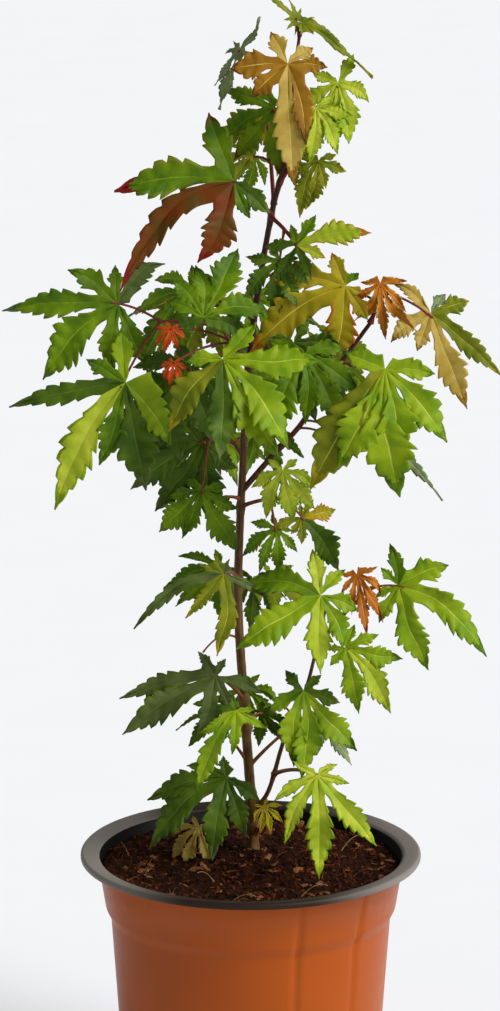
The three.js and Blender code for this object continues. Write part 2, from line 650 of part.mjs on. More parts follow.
// Opposite pairs of leaves along the stem and one at its tip, by the seeded rule.
function grownLeaves(spray, stem, random) {
  const { pairs, leaf } = spray.grow;
  const facing = spray.facing;
  const leaves = [];
  for (let pair = 0; pair <= pairs; pair += 1) {
    const isTip = pair === pairs;
    const place = isTip ? 1 : GROWTH.firstPair + (GROWTH.pairsLength * pair) / pairs;
    for (const side of isTip ? [0] : [-1, 1]) {
      const size = leaf * random(GROWTH.sizeLow, GROWTH.sizeHigh);
      const aside = side * GROWTH.spread + random(-GROWTH.spreadJitter, GROWTH.spreadJitter);
      const heading = radians(facing - 90 + aside);
      const length = GROWTH.petiole * size * (isTip ? GROWTH.tipPetiole : 1);
      const at = stem.getPointAt(place);
      at.x += length * Math.cos(heading);
      at.y += length * Math.sin(heading);
      at.z += length * random(GROWTH.riseLow, GROWTH.riseHigh);
      const turn = -90 + side * GROWTH.turn + random(-GROWTH.turnJitter, GROWTH.turnJitter);
      const lean = random(GROWTH.leanLow, GROWTH.leanHigh);
      const roll = side === 0 ? 0 : random(GROWTH.rollLow, GROWTH.leanHigh);
      leaves.push([place, at.x, at.y, at.z, size, turn, lean, roll]);
    }
  }
  return leaves;
}

// One spray: stem, petioles and blades fused, clear of the limbs and of every earlier spray.
function buildSpray(spray, limbs, taken, number) {
  const random = seeded(spray.seed);
  const [limbName, height] = spray.from;
  const start = limbPoint(limbs[limbName].size, height);
  const tip = vector(spray.to);
  const stem = archedTube(start, tip, STEM.foot, STEM.tip, STEM.arch, STEM.sides, STEM.rings);
  const facing = spray.facing ?? 0;
  const rows = spray.grow ? grownLeaves(spray, stem.curve, random) : spray.leaves;
  let solid = toSolid(stem.geometry);
  for (const [place, x, y, z, size, turn, lean, roll, width = 1, lobes = LOBES] of rows) {
    const leaf = { at: [x, y, z], size, turn, lean, roll, facing, width };
    const shape = leafShape(random, lobes);
    const blade = bladeGeometry(leaf, shape);
    const free = toSolid(bladeGeometry(leaf, shape, GAP));
    const ends = blade.attributes.position;
    const far = Math.max(...Array.from({ length: ends.count }, (_, i) =>
      tip.distanceTo(new THREE.Vector3().fromBufferAttribute(ends, i))));
    const touches = taken.some((other) => !free.intersect(other).isEmpty());
    if (far > spray.reach || touches) continue;
    solid = solid.add(toSolid(blade));
    const petioleStart = stem.curve.getPointAt(Math.min(place, PETIOLE.last));
    const { along } = leafAxes(turn, lean, roll, facing);
    const petioleEnd = vector(leaf.at).addScaledVector(along, PETIOLE.sink * size);
    if (petioleStart.distanceTo(petioleEnd) < PETIOLE.shortest) continue;
    const petiole = archedTube(petioleStart, petioleEnd, PETIOLE.radius, PETIOLE.radius,
      PETIOLE.arch, PETIOLE.sides, PETIOLE.rings);
    solid = solid.add(toSolid(petiole.geometry));
  }
  for (const { space } of Object.values(limbs)) solid = solid.subtract(space);
  solid = outerBody(solid);
  return { solid, mesh: toMesh(spray.name, solid, leafMaterial(number)) };
}

// ---------------------------------------------------------------- assembly

const maple = new THREE.Group();
maple.add(buildPot(), buildSoil());

const limbs = {};
for (const [name, size] of Object.entries({ trunk: TRUNK, right_bough: RIGHT_BOUGH, low_bough: LOW_BOUGH })) {
  let solid = limbSolid(size);
  if (name !== "trunk") solid = solid.subtract(limbs.trunk.space);
  limbs[name] = { size, solid, space: limbSolid(size, GAP) };
  maple.add(toMesh(name, solid, bark));
}

const taken = Object.values(limbs).map(({ solid }) => solid);
SPRAYS.forEach((spray, number) => {
  const { solid, mesh } = buildSpray(spray, limbs, taken, number);
  taken.push(solid);
  maple.add(mesh);
});

export default maple;
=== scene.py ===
# %% [markdown]
# # A potted japanese maple, dressed for rendering
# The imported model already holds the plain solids: a thin nursery pot, the compost, a trunk, two
# boughs and the groups of leaves. This lesson puts the visible surface on them. Every piece is
# made in the same millimetres as the solids, so nothing has to be fitted by eye.

# %% Load the frame
import math

import bmesh
import bpy
import numpy as np
from mathutils import Matrix, Vector, noise


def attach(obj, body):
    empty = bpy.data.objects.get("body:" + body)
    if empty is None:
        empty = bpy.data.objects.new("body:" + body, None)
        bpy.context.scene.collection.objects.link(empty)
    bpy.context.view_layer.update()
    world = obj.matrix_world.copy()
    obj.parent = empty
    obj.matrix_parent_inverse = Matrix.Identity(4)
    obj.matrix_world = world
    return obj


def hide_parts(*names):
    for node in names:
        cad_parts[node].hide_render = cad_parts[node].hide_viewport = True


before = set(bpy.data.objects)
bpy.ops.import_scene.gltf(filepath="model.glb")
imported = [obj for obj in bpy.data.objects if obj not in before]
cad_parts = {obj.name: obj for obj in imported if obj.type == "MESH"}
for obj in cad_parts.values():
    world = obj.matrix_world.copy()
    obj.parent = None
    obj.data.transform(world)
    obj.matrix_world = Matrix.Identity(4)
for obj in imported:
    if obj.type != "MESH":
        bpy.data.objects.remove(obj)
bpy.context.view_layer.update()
MM = 0.001

# %% [markdown]
# ## Small helpers
# A colour is written the way a paint shop gives it, as a hex value, and Blender wants it linear.
# One function adds a node and fills its sockets: a plain value is set, another node's socket is
# linked. Every material below is built with that one function.


# %% Colours and nodes
def linear(hex_colour):
    shares = [int(hex_colour[i:i + 2], 16) / 255 for i in (1, 3, 5)]
    bent = [s / 12.92 if s <= 0.04045 else ((s + 0.055) / 1.055) ** 2.4 for s in shares]
    return (*bent, 1.0)


def add(tree, kind, inputs=None, **settings):
    node = tree.nodes.new(kind)
    for name, value in settings.items():
        setattr(node, name, value)
    for name, value in (inputs or {}).items():
        if isinstance(value, bpy.types.NodeSocket):
            tree.links.new(value, node.inputs[name])
        else:
            node.inputs[name].default_value = value
    return node


def new_material(name):
    """A bare material, its tree, and the place on the object that its patterns follow."""
    material = bpy.data.materials.new(name)
    material.use_nodes = True
    tree = material.node_tree
    tree.nodes.clear()
    return material, tree, add(tree, "ShaderNodeTexCoord").outputs["Object"]


# A Mix node has its sockets once for each kind of value. These are the ones for colours.
MIX_SHARE, MIX_FIRST, MIX_SECOND, MIX_RESULT = 0, 6, 7, 2


def per_metre(millimetres):
    """The scale of a pattern whose features are this far apart."""
    return 1000 / millimetres


print("half grey in linear light:", round(linear("#808080")[0], 3))


# %% [markdown]
# ## The same run of random numbers as the solids
# The leaves here have to stand where the plain solids stand. So the twigs and leaves are grown
# again by the same seeded rule: a short formula that gives the same numbers in any language.


# %% Seeded numbers
def seeded(seed):
    state = [seed]

    def pick(low, high):
        state[0] = (state[0] * 16807) % 2147483647
        return low + (high - low) * (state[0] / 2147483647)

    return pick


print("seed 1 starts with:", [round(number, 3) for number in map(seeded(1), [0, 0], [1, 1])])


# %% [markdown]
# ## Meshes from arrays
# Python lists of points and faces become a mesh in one call. Each piece is made at the origin
# with its place in its mesh, and rides on the one body that a plant has.


# %% Soft steps and whole pieces
def smoothstep(value, low, high):
    share = np.clip((value - low) / (high - low), 0.0, 1.0)
    return share * share * (3 - 2 * share)


def hump(away, height, reach):
    """A smooth hump: its height in the middle, and next to nothing past twice its reach."""
    return height * math.exp(-(away / reach) ** 2)


def make_mesh(name, points, faces, materials, face_materials=None):
    mesh = bpy.data.meshes.new(name)
    mesh.from_pydata((np.asarray(points, float) * MM).tolist(), [], faces)
    for material in materials:
        mesh.materials.append(material)
    if face_materials is not None:
        mesh.polygons.foreach_set("material_index", face_materials)
    mesh.polygons.foreach_set("use_smooth", [True] * len(mesh.polygons))
    mesh.update()
    piece = bpy.data.objects.new(name, mesh)
    bpy.context.scene.collection.objects.link(piece)
    return piece


def apply_modifiers(piece):
    graph = bpy.context.evaluated_depsgraph_get()
    plain = bpy.data.meshes.new_from_object(piece.evaluated_get(graph))
    piece.modifiers.clear()
    piece.data = plain


def finish_piece(piece, finish, *nodes):
    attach(piece, "root")
    if nodes:
        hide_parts(*nodes)
    triangles = sum(len(face.vertices) - 2 for face in piece.data.polygons)
    print(piece.name, "triangles:", triangles)


print("a soft step at a quarter and at a half:", smoothstep(0.25, 0, 1), smoothstep(0.5, 0, 1))


# %% [markdown]
# ## Finish: thermoformed polypropylene
# A nursery pot is one sheet, drawn down hot over a mould: terracotta brown outside and black
# inside. It could be one colour, but a real pot has cloudy places where the sheet was drawn
# thin, fine haze and a waxy gloss. Slow noise changes the brown, fast noise the roughness. The
# rim is the same black sheet with a painted grey reflection at its two sides, so there the place
# sets the colour.


# %% Pot plastics
# How far to the side, in mm, the painted reflection on the rim starts and where it is full.
PAINTED_REFLECTION_START, PAINTED_REFLECTION_FULL = 22, 60


def plastic(name, colour, cloud_colour, roughness, shine, painted_reflection_colour=None):
    material, tree, place = new_material(name)
    cloud = add(tree, "ShaderNodeTexNoise", {
        "Vector": place, "Scale": per_metre(45), "Detail": 3.0,
    })
    tone = add(tree, "ShaderNodeMix", {
        MIX_SHARE: cloud.outputs["Fac"], MIX_FIRST: linear(colour),
        MIX_SECOND: linear(cloud_colour),
    }, data_type="RGBA")
    # A painted reflection: towards both sides the colour turns grey, set by place and not by the
    # lamps.
    if painted_reflection_colour:
        side = add(tree, "ShaderNodeSeparateXYZ", {"Vector": place}).outputs["X"]
        away = add(tree, "ShaderNodeMath", {0: side}, operation="ABSOLUTE").outputs["Value"]
        painted_reflection = add(tree, "ShaderNodeMapRange", {
            "Value": away, "From Min": PAINTED_REFLECTION_START * MM, "From Max": PAINTED_REFLECTION_FULL * MM,
        }, interpolation_type="SMOOTHSTEP")
        tone = add(tree, "ShaderNodeMix", {
            MIX_SHARE: painted_reflection.outputs["Result"], MIX_FIRST: tone.outputs[MIX_RESULT],
            MIX_SECOND: linear(painted_reflection_colour),
        }, data_type="RGBA")
    haze = add(tree, "ShaderNodeTexNoise", {
        "Vector": place, "Scale": per_metre(3), "Detail": 4.0,
    })
    gloss = add(tree, "ShaderNodeMapRange", {
        "Value": haze.outputs["Fac"], "To Min": roughness - 0.06, "To Max": roughness + 0.1,
    })
    grain = add(tree, "ShaderNodeBump", {
        "Height": haze.outputs["Fac"], "Strength": 0.12, "Distance": 0.0002,
    })
    shader = add(tree, "ShaderNodeBsdfPrincipled", {
        "Base Color": tone.outputs[MIX_RESULT], "Roughness": gloss.outputs["Result"],
        "Normal": grain.outputs["Normal"], "IOR": 1.49, "Specular IOR Level": shine,
    })
    add(tree, "ShaderNodeOutputMaterial", {"Surface": shader.outputs["BSDF"]})
    return material


terracotta = plastic("terracotta_polypropylene", "#A24A0A", "#8C3E06", 0.36, 0.16)
# The grey at the rim's two sides is a painted reflection.
rim_plastic = plastic("black_rim_painted_reflection", "#2A1E18", "#221812", 0.42, 0.12, "#78716A")
black_plastic = plastic("black_polypropylene", "#0C0A09", "#080605", 0.45, 0.06)
print("plastics:", terracotta.name, rim_plastic.name, black_plastic.name)

# %% [markdown]
# ## Finish: young bark
# At the foot the bark is olive brown and matt with fine lengthwise cracks. Higher up the wood
# is one year old: smooth, dark reddish brown and a little glossy. Height decides the mix, and
# a stretched noise makes the cracks.


# %% Bark and petiole skins
def bark_finish(name, low_colour, high_colour, change_low, change_high):
    material, tree, place = new_material(name)
    height = add(tree, "ShaderNodeSeparateXYZ", {"Vector": place}).outputs["Z"]
    age = add(tree, "ShaderNodeMapRange", {
        "Value": height, "From Min": change_low * MM, "From Max": change_high * MM,
    })
    skin = add(tree, "ShaderNodeMix", {
        MIX_SHARE: age.outputs["Result"], MIX_FIRST: linear(low_colour),
        MIX_SECOND: linear(high_colour),
    }, data_type="RGBA")
    drawn = add(tree, "ShaderNodeMapping", {"Vector": place, "Scale": (1.0, 1.0, 0.18)})
    cracks = add(tree, "ShaderNodeTexNoise", {
        "Vector": drawn.outputs["Vector"], "Scale": per_metre(0.9), "Detail": 5.0,
    })
    mottle = add(tree, "ShaderNodeMapRange", {
        "Value": cracks.outputs["Fac"], "From Min": 0.35, "From Max": 0.7,
        "To Min": 0.55, "To Max": 1.25,
    })
    tone = add(tree, "ShaderNodeHueSaturation", {
        "Color": skin.outputs[MIX_RESULT], "Value": mottle.outputs["Result"],
    })
    relief = add(tree, "ShaderNodeBump", {
        "Height": cracks.outputs["Fac"], "Strength": 0.5, "Distance": 0.0003,
    })
    shader = add(tree, "ShaderNodeBsdfPrincipled", {
        "Base Color": tone.outputs["Color"], "Roughness": 0.55, "Normal": relief.outputs["Normal"],
        "Specular IOR Level": 0.25,
    })
    add(tree, "ShaderNodeOutputMaterial", {"Surface": shader.outputs["BSDF"]})
    return material


young_bark = bark_finish("young_maple_bark", "#66491C", "#40200E", 190, 320)
bough_bark = bark_finish("bough_bark", "#5E3A16", "#4A2412", 150, 260)
red_petiole = bark_finish("red_petiole_skin", "#7E4A1C", "#6A2418", 180, 340)
print("skins:", young_bark.name, bough_bark.name, red_petiole.name)

# %% [markdown]
# ## Finish: leaf blades
# A leaf is thin enough to let light through, which is why a backlit leaf glows. A waxy top
# layer reflects a little, and a translucent layer passes light from behind. Colours that belong
# to a place, such as red tips or pale ribs, are separate materials on separate faces, so they
# stay where they are when the model is exported. Noise only breaks up each colour.


# %% Leaf tissue
def leaf_tissue(name, colour, deep_colour, glow_colour):
    material, tree, place = new_material(name)
    patches = add(tree, "ShaderNodeTexNoise", {
        "Vector": place, "Scale": per_metre(9), "Detail": 4.0,
    })
    share = add(tree, "ShaderNodeMapRange", {
        "Value": patches.outputs["Fac"], "From Min": 0.36, "From Max": 0.64,
    })
    tone = add(tree, "ShaderNodeMix", {
        MIX_SHARE: share.outputs["Result"], MIX_FIRST: linear(colour),
        MIX_SECOND: linear(deep_colour),
    }, data_type="RGBA")
    cells = add(tree, "ShaderNodeTexVoronoi", {"Vector": place, "Scale": per_metre(0.9)})
    veins = add(tree, "ShaderNodeBump", {
        "Height": cells.outputs["Distance"], "Strength": 0.25, "Distance": 0.0002,
    })
    wax = add(tree, "ShaderNodeBsdfPrincipled", {
        "Base Color": tone.outputs[MIX_RESULT], "Roughness": 0.45,
        "Normal": veins.outputs["Normal"], "Specular IOR Level": 0.14,
    })
    glow = add(tree, "ShaderNodeBsdfTranslucent", {"Color": linear(glow_colour)})
    both = add(tree, "ShaderNodeMixShader", {
        "Fac": 0.3, 1: wax.outputs["BSDF"], 2: glow.outputs["BSDF"],
    })
    add(tree, "ShaderNodeOutputMaterial", {"Surface": both.outputs["Shader"]})
    return material


# Each tissue has its lit colour, the deeper colour of its patches, and what shines through.
TISSUES = {
    "green": ("#6E8C0A", "#456608", "#86A010"),
    "bright": ("#93AA18", "#6C8E10", "#A8BC24"),
    "lime": ("#BCC63C", "#94AA20", "#CBD250"),
    "deep": ("#567016", "#37520E", "#6C8412"),
    "dusk": ("#64743A", "#465422", "#7C8A46"),
    "olive": ("#868A1A", "#62700E", "#9C9A22"),
    "bronze": ("#AE9E1E", "#8C8210", "#C0B02C"),
    "tan": ("#C4AC58", "#A68C38", "#D2BC6C"),
    "orange": ("#BE761E", "#A05A14", "#D28A2C"),
    "russet": ("#A8541E", "#7E3412", "#C46C2C"),
    "scarlet": ("#C8501A", "#9E3210", "#DC6624"),
    "crimson": ("#962420", "#6C1612", "#B03430"),
    "umber": ("#A0741E", "#80580E", "#B48A30"),
    "maroon": ("#76380E", "#5C4412", "#8E5220"),
    "grey": ("#8C9A6C", "#6A7A4C", "#A0AC80"),
}
tissues = {name: leaf_tissue(name + "_leaf_tissue", *colours)
           for name, colours in TISSUES.items()}
rib_tissues = {
    "light_rib": leaf_tissue("light_leaf_rib", "#C4CC5C", "#AAB83C", "#CCD468"),
    "green_rib": leaf_tissue("green_leaf_rib", "#8CA42A", "#708E1C", "#9CB236"),
    "dark_rib": leaf_tissue("dark_leaf_rib", "#6E8630", "#54701E", "#829A3A"),
    "gold_rib": leaf_tissue("gold_leaf_rib", "#DCCB60", "#CDB848", "#E4D474"),
    "red_rib": leaf_tissue("red_leaf_rib", "#7A3A1E", "#642C14", "#8E482A"),
}
print("leaf materials:", len(tissues) + len(rib_tissues))

# %% [markdown]
# ## Where the limbs run
# The trunk and the boughs follow a few named places, joined by a smooth curve. The curve used
# here gives equal weight to the gaps between its points, so it never loops or overshoots. The
# same places shape the plain solids.

# %% Limb sizes
GAP = 0.3
SOIL = {"edge": 111.5, "mound": 113.6, "flat": 14, "spread": 46, "bump": 0.6}
TRUNK = {
    "path": [
        (1, 12, SOIL["mound"] + GAP), (0.6, 12, 128), (-2.5, 11, 173), (-4.7, 10, 213),
        (-3, 9, 263), (-0.2, 8, 310), (8, 6, 363), (12.6, 5, 381),
    ],
    "foot": 2.0, "tip": 0.95, "flare": 0.7, "flare_height": 6,
}
RIGHT_BOUGH = {
    "path": [(-3.3, 9, 256), (9, 7.5, 271), (18.5, 6, 282), (30, 4, 301), (44.5, 2, 322)],
    "foot": 1.15, "tip": 0.75, "flare": 0.0, "flare_height": 6,
}
LOW_BOUGH = {
    "path": [(0.4, 12, 129), (6, 10, 136), (12.8, 7, 159), (21, 4, 180), (27, 2, 207)],
    "foot": 0.9, "tip": 0.6, "flare": 0.0, "flare_height": 6,
}
LIMBS = {"trunk": TRUNK, "right_bough": RIGHT_BOUGH, "low_bough": LOW_BOUGH}
CURVE_STEPS = 200
print("places on each limb:", {name: len(limb["path"]) for name, limb in LIMBS.items()})


# %% Smooth curves through a few places
def through(points):
    """A point on the smooth curve through the places, for a share of 0 to 1 of its spans."""
    knots = np.array(points, float)
    before = 2 * knots[0] - knots[1]
    after = 2 * knots[-1] - knots[-2]
    knots = np.vstack([before, knots, after])

    def at(share):
        spans = len(knots) - 3
        span = min(int(share * spans), spans - 1)
        weight = share * spans - span
        a, b, c, d = knots[span:span + 4]
        gaps = [max(np.dot(q - p, q - p) ** 0.25, 1e-4) for p, q in ((a, b), (b, c), (c, d))]
        leave = (b - a) / gaps[0] - (c - a) / (gaps[0] + gaps[1]) + (c - b) / gaps[1]
        arrive = (c - b) / gaps[1] - (d - b) / (gaps[1] + gaps[2]) + (d - c) / gaps[2]
        leave, arrive = leave * gaps[1], arrive * gaps[1]
        square, cube = weight ** 2, weight ** 3
        return (b + leave * weight + (3 * (c - b) - 2 * leave - arrive) * square
                + (2 * (b - c) + leave + arrive) * cube)

    return at


def arched(start, end, arch):
    """A stem or petiole that rises a little on its way, for a share of 0 to 1."""
    start, end = np.array(start, float), np.array(end, float)
    middle = (start + end) / 2 + np.array([0, 0, arch * np.linalg.norm(end - start)])

    def at(share):
        return start * (1 - share) ** 2 + 2 * middle * share * (1 - share) + end * share ** 2

    return at


def evenly(at):
    """The same curve, measured by its length."""
    marks = np.array([at(i / CURVE_STEPS) for i in range(CURVE_STEPS + 1)])
    lengths = np.concatenate([[0], np.cumsum(np.linalg.norm(np.diff(marks, axis=0), axis=1))])

    def along(share):
        return at(np.interp(share * lengths[-1], lengths, np.linspace(0, 1, CURVE_STEPS + 1)))

    along.length = lengths[-1]
    return along


limb_curves = {name: evenly(through(limb["path"])) for name, limb in LIMBS.items()}
print("trunk length in mm:", round(limb_curves["trunk"].length))


# %% Tubes round a curve
def tube_rings(along, rings, sides, radius_at):
    """Points of a tube, ring by ring. The radius may change with the share and the angle."""
    shares = np.linspace(0, 1, rings + 1)
    places = np.array([along(share) for share in shares])
    ways = np.gradient(places, axis=0)
    ways /= np.linalg.norm(ways, axis=1)[:, None]
    side = np.cross(ways[0], [0.31, 0.95, 0.05])
    turns = np.linspace(0, 2 * math.pi, sides, endpoint=False)
    points = []
    for share, place, way in zip(shares, places, ways):
        side = side - way * np.dot(side, way)
        side /= np.linalg.norm(side)
        other = np.cross(way, side)
        for turn in turns:
            out = side * math.cos(turn) + other * math.sin(turn)
            points.append(place + out * radius_at(share, turn))
    return np.array(points)


def tube_faces(rings, sides):
    faces = []
    for ring in range(rings):
        for k in range(sides):
            here, beside = ring * sides + k, ring * sides + (k + 1) % sides
            faces.append((here, beside, beside + sides, here + sides))
    faces.append(tuple(range(sides))[::-1])
    faces.append(tuple(rings * sides + k for k in range(sides)))
    return faces


print("a tube of 10 rings and 8 sides has", len(tube_faces(10, 8)), "faces")


# %% [markdown]
# ## The pot
# The sheet keeps one thickness, so the pot is a line turned round an axis: out along the foot,
# up the outside, over the rim and down the inside. A point list gives that line. Corners of a
# drawn sheet are never sharp, so each one is cut into a short arc before it is turned. Spin or
# a Screw modifier could do it too, but a list of rings gives each face its colour at once.

# %% Pot sizes
POT = {
    "height": 117.5, "rim_radius": 65, "collar_top": 58.6, "collar_foot": 55.5, "ledge": 96,
    "body_top": 53.5, "base_radius": 47.2,
}
RIM = POT["height"]
FOOT = {"centre": 18, "channel_in": 20, "channel_out": 41, "ring": 43, "lift": 3}
DRAIN = {"count": 8, "radius": 3, "circle": 31, "middle": 3.5, "depth": 8, "sides": 24}
POT_SIDES = 288
# The angle of each crease, how deep it is in mm, and how wide in radians.
CREASES = [(-71.25, 1.2, 0.024), (-42.5, 1.2, 0.024)]
# Over these heights, in mm, the unevenness sets in, and the creases fade out below the rim.
UNEVEN_FROM, CREASES_END = (8, 60), (108, 114)

OUTER_LINE = [
    (0, 0), (FOOT["centre"], 0), (FOOT["channel_in"], FOOT["lift"]),
    (FOOT["channel_out"], FOOT["lift"]), (FOOT["ring"], 0), (POT["base_radius"] - 0.7, 0),
    (POT["base_radius"], 1.5), (POT["body_top"], POT["ledge"] - 4),
    (POT["collar_foot"], POT["ledge"]), (POT["collar_top"], RIM - 2),
]
RIM_LINE = [
    (POT["collar_top"], RIM - 2), (63.6, RIM - 2), (63.6, RIM - 2.5),
    (POT["rim_radius"], RIM - 2.5), (POT["rim_radius"], RIM - 0.9), (64.2, RIM),
    (62, RIM - 0.3), (58.8, RIM - 0.9), (57.8, RIM - 1.8),
]
INNER_LINE = [
    (57.8, RIM - 1.8), (54.5, 96.5), (52.5, 92.7), (46.2, 4.2), (45.7, 1.2),
    (43.8, 1.2), (41.8, 4.2), (19.2, 4.2), (17.2, 1.2), (0, 1.2),
]
print("points on the turned line:", len(OUTER_LINE + RIM_LINE[1:] + INNER_LINE[1:]))


# %% Rounding a line's corners
ARC_POINTS = 4


def rounded(line, radius):
    """The line with each corner cut back and filled with a short arc."""
    line = [np.array(point, float) for point in line]
    smooth = [line[0]]
    for before, corner, after in zip(line, line[1:], line[2:]):
        back, ahead = before - corner, after - corner
        reach = min(radius, 0.4 * np.linalg.norm(back), 0.4 * np.linalg.norm(ahead))
        start = corner + back / np.linalg.norm(back) * reach
        end = corner + ahead / np.linalg.norm(ahead) * reach
        for share in np.linspace(0, 1, ARC_POINTS):
            smooth.append(start * (1 - share) ** 2 + corner * 2 * share * (1 - share)
                          + end * share ** 2)
    smooth.append(line[-1])
    return smooth


def turned(line, sides, shape):
    """Rings of points round Z, and the faces between them. shape may move a point."""
    points, faces = [], []
    rings = []
    for radius, height in line:
        if radius < 1e-6:
            rings.append([len(points)] * sides)
            points.append((0.0, 0.0, height))
            continue
        rings.append(list(range(len(points), len(points) + sides)))
        for k in range(sides):
            turn = 2 * math.pi * k / sides
            r, z = shape(radius, height, turn)
            points.append((r * math.cos(turn), r * math.sin(turn), z))
    for low, high in zip(rings, rings[1:]):
        for k in range(sides):
            corners = [low[k], low[(k + 1) % sides], high[(k + 1) % sides], high[k]]
            unique = [c for i, c in enumerate(corners) if c != corners[i - 1]]
            faces.append(tuple(unique))
    return points, faces


print("points once the corners are round:", len(rounded(OUTER_LINE, 1.0)), "on the outside")


# %% Building the pot
def pot_shape(radius, height, turn):
    """The sheet is a little uneven, with two shallow upright creases at the front."""
    share = smoothstep(height, *UNEVEN_FROM)
    wave = 0.12 * math.sin(3 * turn + 0.7) * share
    for degrees, depth, width in CREASES:
        away = (turn - math.radians(degrees) + math.pi) % (2 * math.pi) - math.pi
        wave -= hump(away, depth, width) * share * (1 - smoothstep(height, *CREASES_END))
    return radius + (wave if radius > POT["base_radius"] - 5 else 0), height


outer = rounded(OUTER_LINE, 1.0)
rim = rounded(RIM_LINE, 0.6)[1:]
inner = rounded(INNER_LINE, 0.8)[1:]
points, faces = turned(outer + rim + inner, POT_SIDES, pot_shape)
outside = (len(outer) - 1) * POT_SIDES
rim_end = outside + len(rim) * POT_SIDES
finish_numbers = [0 if i < outside else 1 if i < rim_end else 2 for i in range(len(faces))]
pot = make_mesh("nursery_pot", points, faces, [terracotta, rim_plastic, black_plastic],
                finish_numbers)

drills = bmesh.new()
for i in range(DRAIN["count"]):
    turn = 2 * math.pi * i / DRAIN["count"]
    place = Matrix.Translation((DRAIN["circle"] * math.cos(turn) * MM,
                                DRAIN["circle"] * math.sin(turn) * MM, DRAIN["middle"] * MM))
    bmesh.ops.create_cone(
        drills, cap_ends=True, segments=DRAIN["sides"], radius1=DRAIN["radius"] * MM,
        radius2=DRAIN["radius"] * MM, depth=DRAIN["depth"] * MM, matrix=place)
drill_mesh = bpy.data.meshes.new("drills")
drills.to_mesh(drill_mesh)
drills.free()
drill = bpy.data.objects.new("drills", drill_mesh)
bpy.context.scene.collection.objects.link(drill)
holes = pot.modifiers.new("drain_holes", "BOOLEAN")
holes.operation, holes.solver, holes.object = "DIFFERENCE", "EXACT", drill
apply_modifiers(pot)
bpy.data.objects.remove(drill)
finish_piece(pot, "pot_plastic", "pot")

# %% [markdown]
# ## Finish: compost
# Potting compost is peat, bark fines and coir. It is nearly black where it is wet and brown on
# the raised crumbs, and reddish coir threads lie in it. The ground gets a mottled dark brown,
# and the loose bits get their own lighter finishes, because they catch the light.


# %% Compost finishes
def crumbly(name, wet_colour, dry_colour, grain_mm):
    material, tree, place = new_material(name)
    grain = add(tree, "ShaderNodeTexNoise", {
        "Vector": place, "Scale": per_metre(grain_mm), "Detail": 6.0, "Roughness": 0.65,
    })
    share = add(tree, "ShaderNodeMapRange", {
        "Value": grain.outputs["Fac"], "From Min": 0.4, "From Max": 0.66,
    })
    tone = add(tree, "ShaderNodeMix", {
        MIX_SHARE: share.outputs["Result"], MIX_FIRST: linear(wet_colour),
        MIX_SECOND: linear(dry_colour),
    }, data_type="RGBA")
    relief = add(tree, "ShaderNodeBump", {
        "Height": grain.outputs["Fac"], "Strength": 0.7, "Distance": 0.0008,
    })
    shader = add(tree, "ShaderNodeBsdfPrincipled", {
        "Base Color": tone.outputs[MIX_RESULT], "Roughness": 0.85,
        "Normal": relief.outputs["Normal"], "Specular IOR Level": 0.06,
    })
    add(tree, "ShaderNodeOutputMaterial", {"Surface": shader.outputs["BSDF"]})
    return material


# The last number is the size of the grain in mm.
peat = crumbly("moist_peat", "#110703", "#36190B", 2.6)
crumb_finish = crumbly("compost_crumb", "#1C0C05", "#602E12", 1.8)
bark_chip = crumbly("bark_chip", "#4A2814", "#946440", 1.2)
coir = crumbly("coir_fibre", "#5E2A14", "#965634", 1.0)
dry_fibre = crumbly("dry_fibre", "#6A4E30", "#A08460", 1.0)
print("finishes on the ground:", [m.name for m in (peat, crumb_finish, bark_chip, coir, dry_fibre)])

# %% [markdown]
# ## The ground
# The compost is mounded round the trunk and lower at the wall. The ground is a fan of rings
# that follows the height rule of the plain solid, plus uneven lumps from a noise that fades out
# at the wall. Sculpting would look as good, but a rule can be run again.


# %% Building the ground
def soil_height(x, y):
    foot_x, foot_y, _ = TRUNK["path"][0]
    away = math.hypot(x - foot_x, y - foot_y)
    fall = smoothstep(away, SOIL["flat"], SOIL["spread"])
    bumps = SOIL["bump"] * math.sin(0.35 * x + 1) * math.cos(0.31 * y)
    return SOIL["mound"] + (SOIL["edge"] - SOIL["mound"]) * fall + min(0, bumps * min(1, 3 * fall))


GROUND_RINGS, GROUND_SIDES = 60, 180
SURFACE_FROM = SOIL["edge"] - 0.3
# How tight and how high, in mm: clods about 6 mm apart, and crumbs about 2 mm apart on them.
CLODS, CRUMBS = (0.16, 1.5), (0.55, 0.8)
SOIL_FLOOR, SOIL_RADIUS, WALL_BAND = 4.6, 56.5, 3.0
SOIL_WALL = [(45.8, SOIL_FLOOR), (52.1, 92.7), (54.1, 96.5), (SOIL_RADIUS, 110.9)]


def lumps(x, y):
    return sum(noise.noise(Vector((x, y, 0)) * tight) * high for tight, high in (CLODS, CRUMBS))


ground_line = [(0, SOIL_FLOOR)] + SOIL_WALL
ground_line += [(radius, SOIL["edge"]) for radius in np.linspace(SOIL_RADIUS, 0, GROUND_RINGS)]
points, faces = turned(ground_line, GROUND_SIDES, lambda radius, height, turn: (radius, height))
for i, (x, y, z) in enumerate(points):
    if z > SURFACE_FROM:
        fade = 1 - smoothstep(math.hypot(x, y), SOIL_RADIUS - WALL_BAND, SOIL_RADIUS)
        points[i] = (x, y, soil_height(x, y) + lumps(x, y) * fade)
ground = make_mesh("compost_ground", points, faces, [peat])
finish_piece(ground, "compost", "soil")

# %% [markdown]
# ## Loose bits on the ground
# Hundreds of crumbs lie on the compost. Modelling each would be endless, so Geometry Nodes
# scatter a few faces of one crumb over the surface: random points, a copy on each point, turned
# and sized at random. Real copies are needed at the end, because a plain mesh is exported.

# %% A tree that scatters
INPUTS = {
    "Bit": "NodeSocketObject", "Density": "NodeSocketFloat", "Smallest": "NodeSocketFloat",
    "Largest": "NodeSocketFloat", "Seed": "NodeSocketInt", "Finish": "NodeSocketMaterial",
    "Lean": "NodeSocketFloat",
}


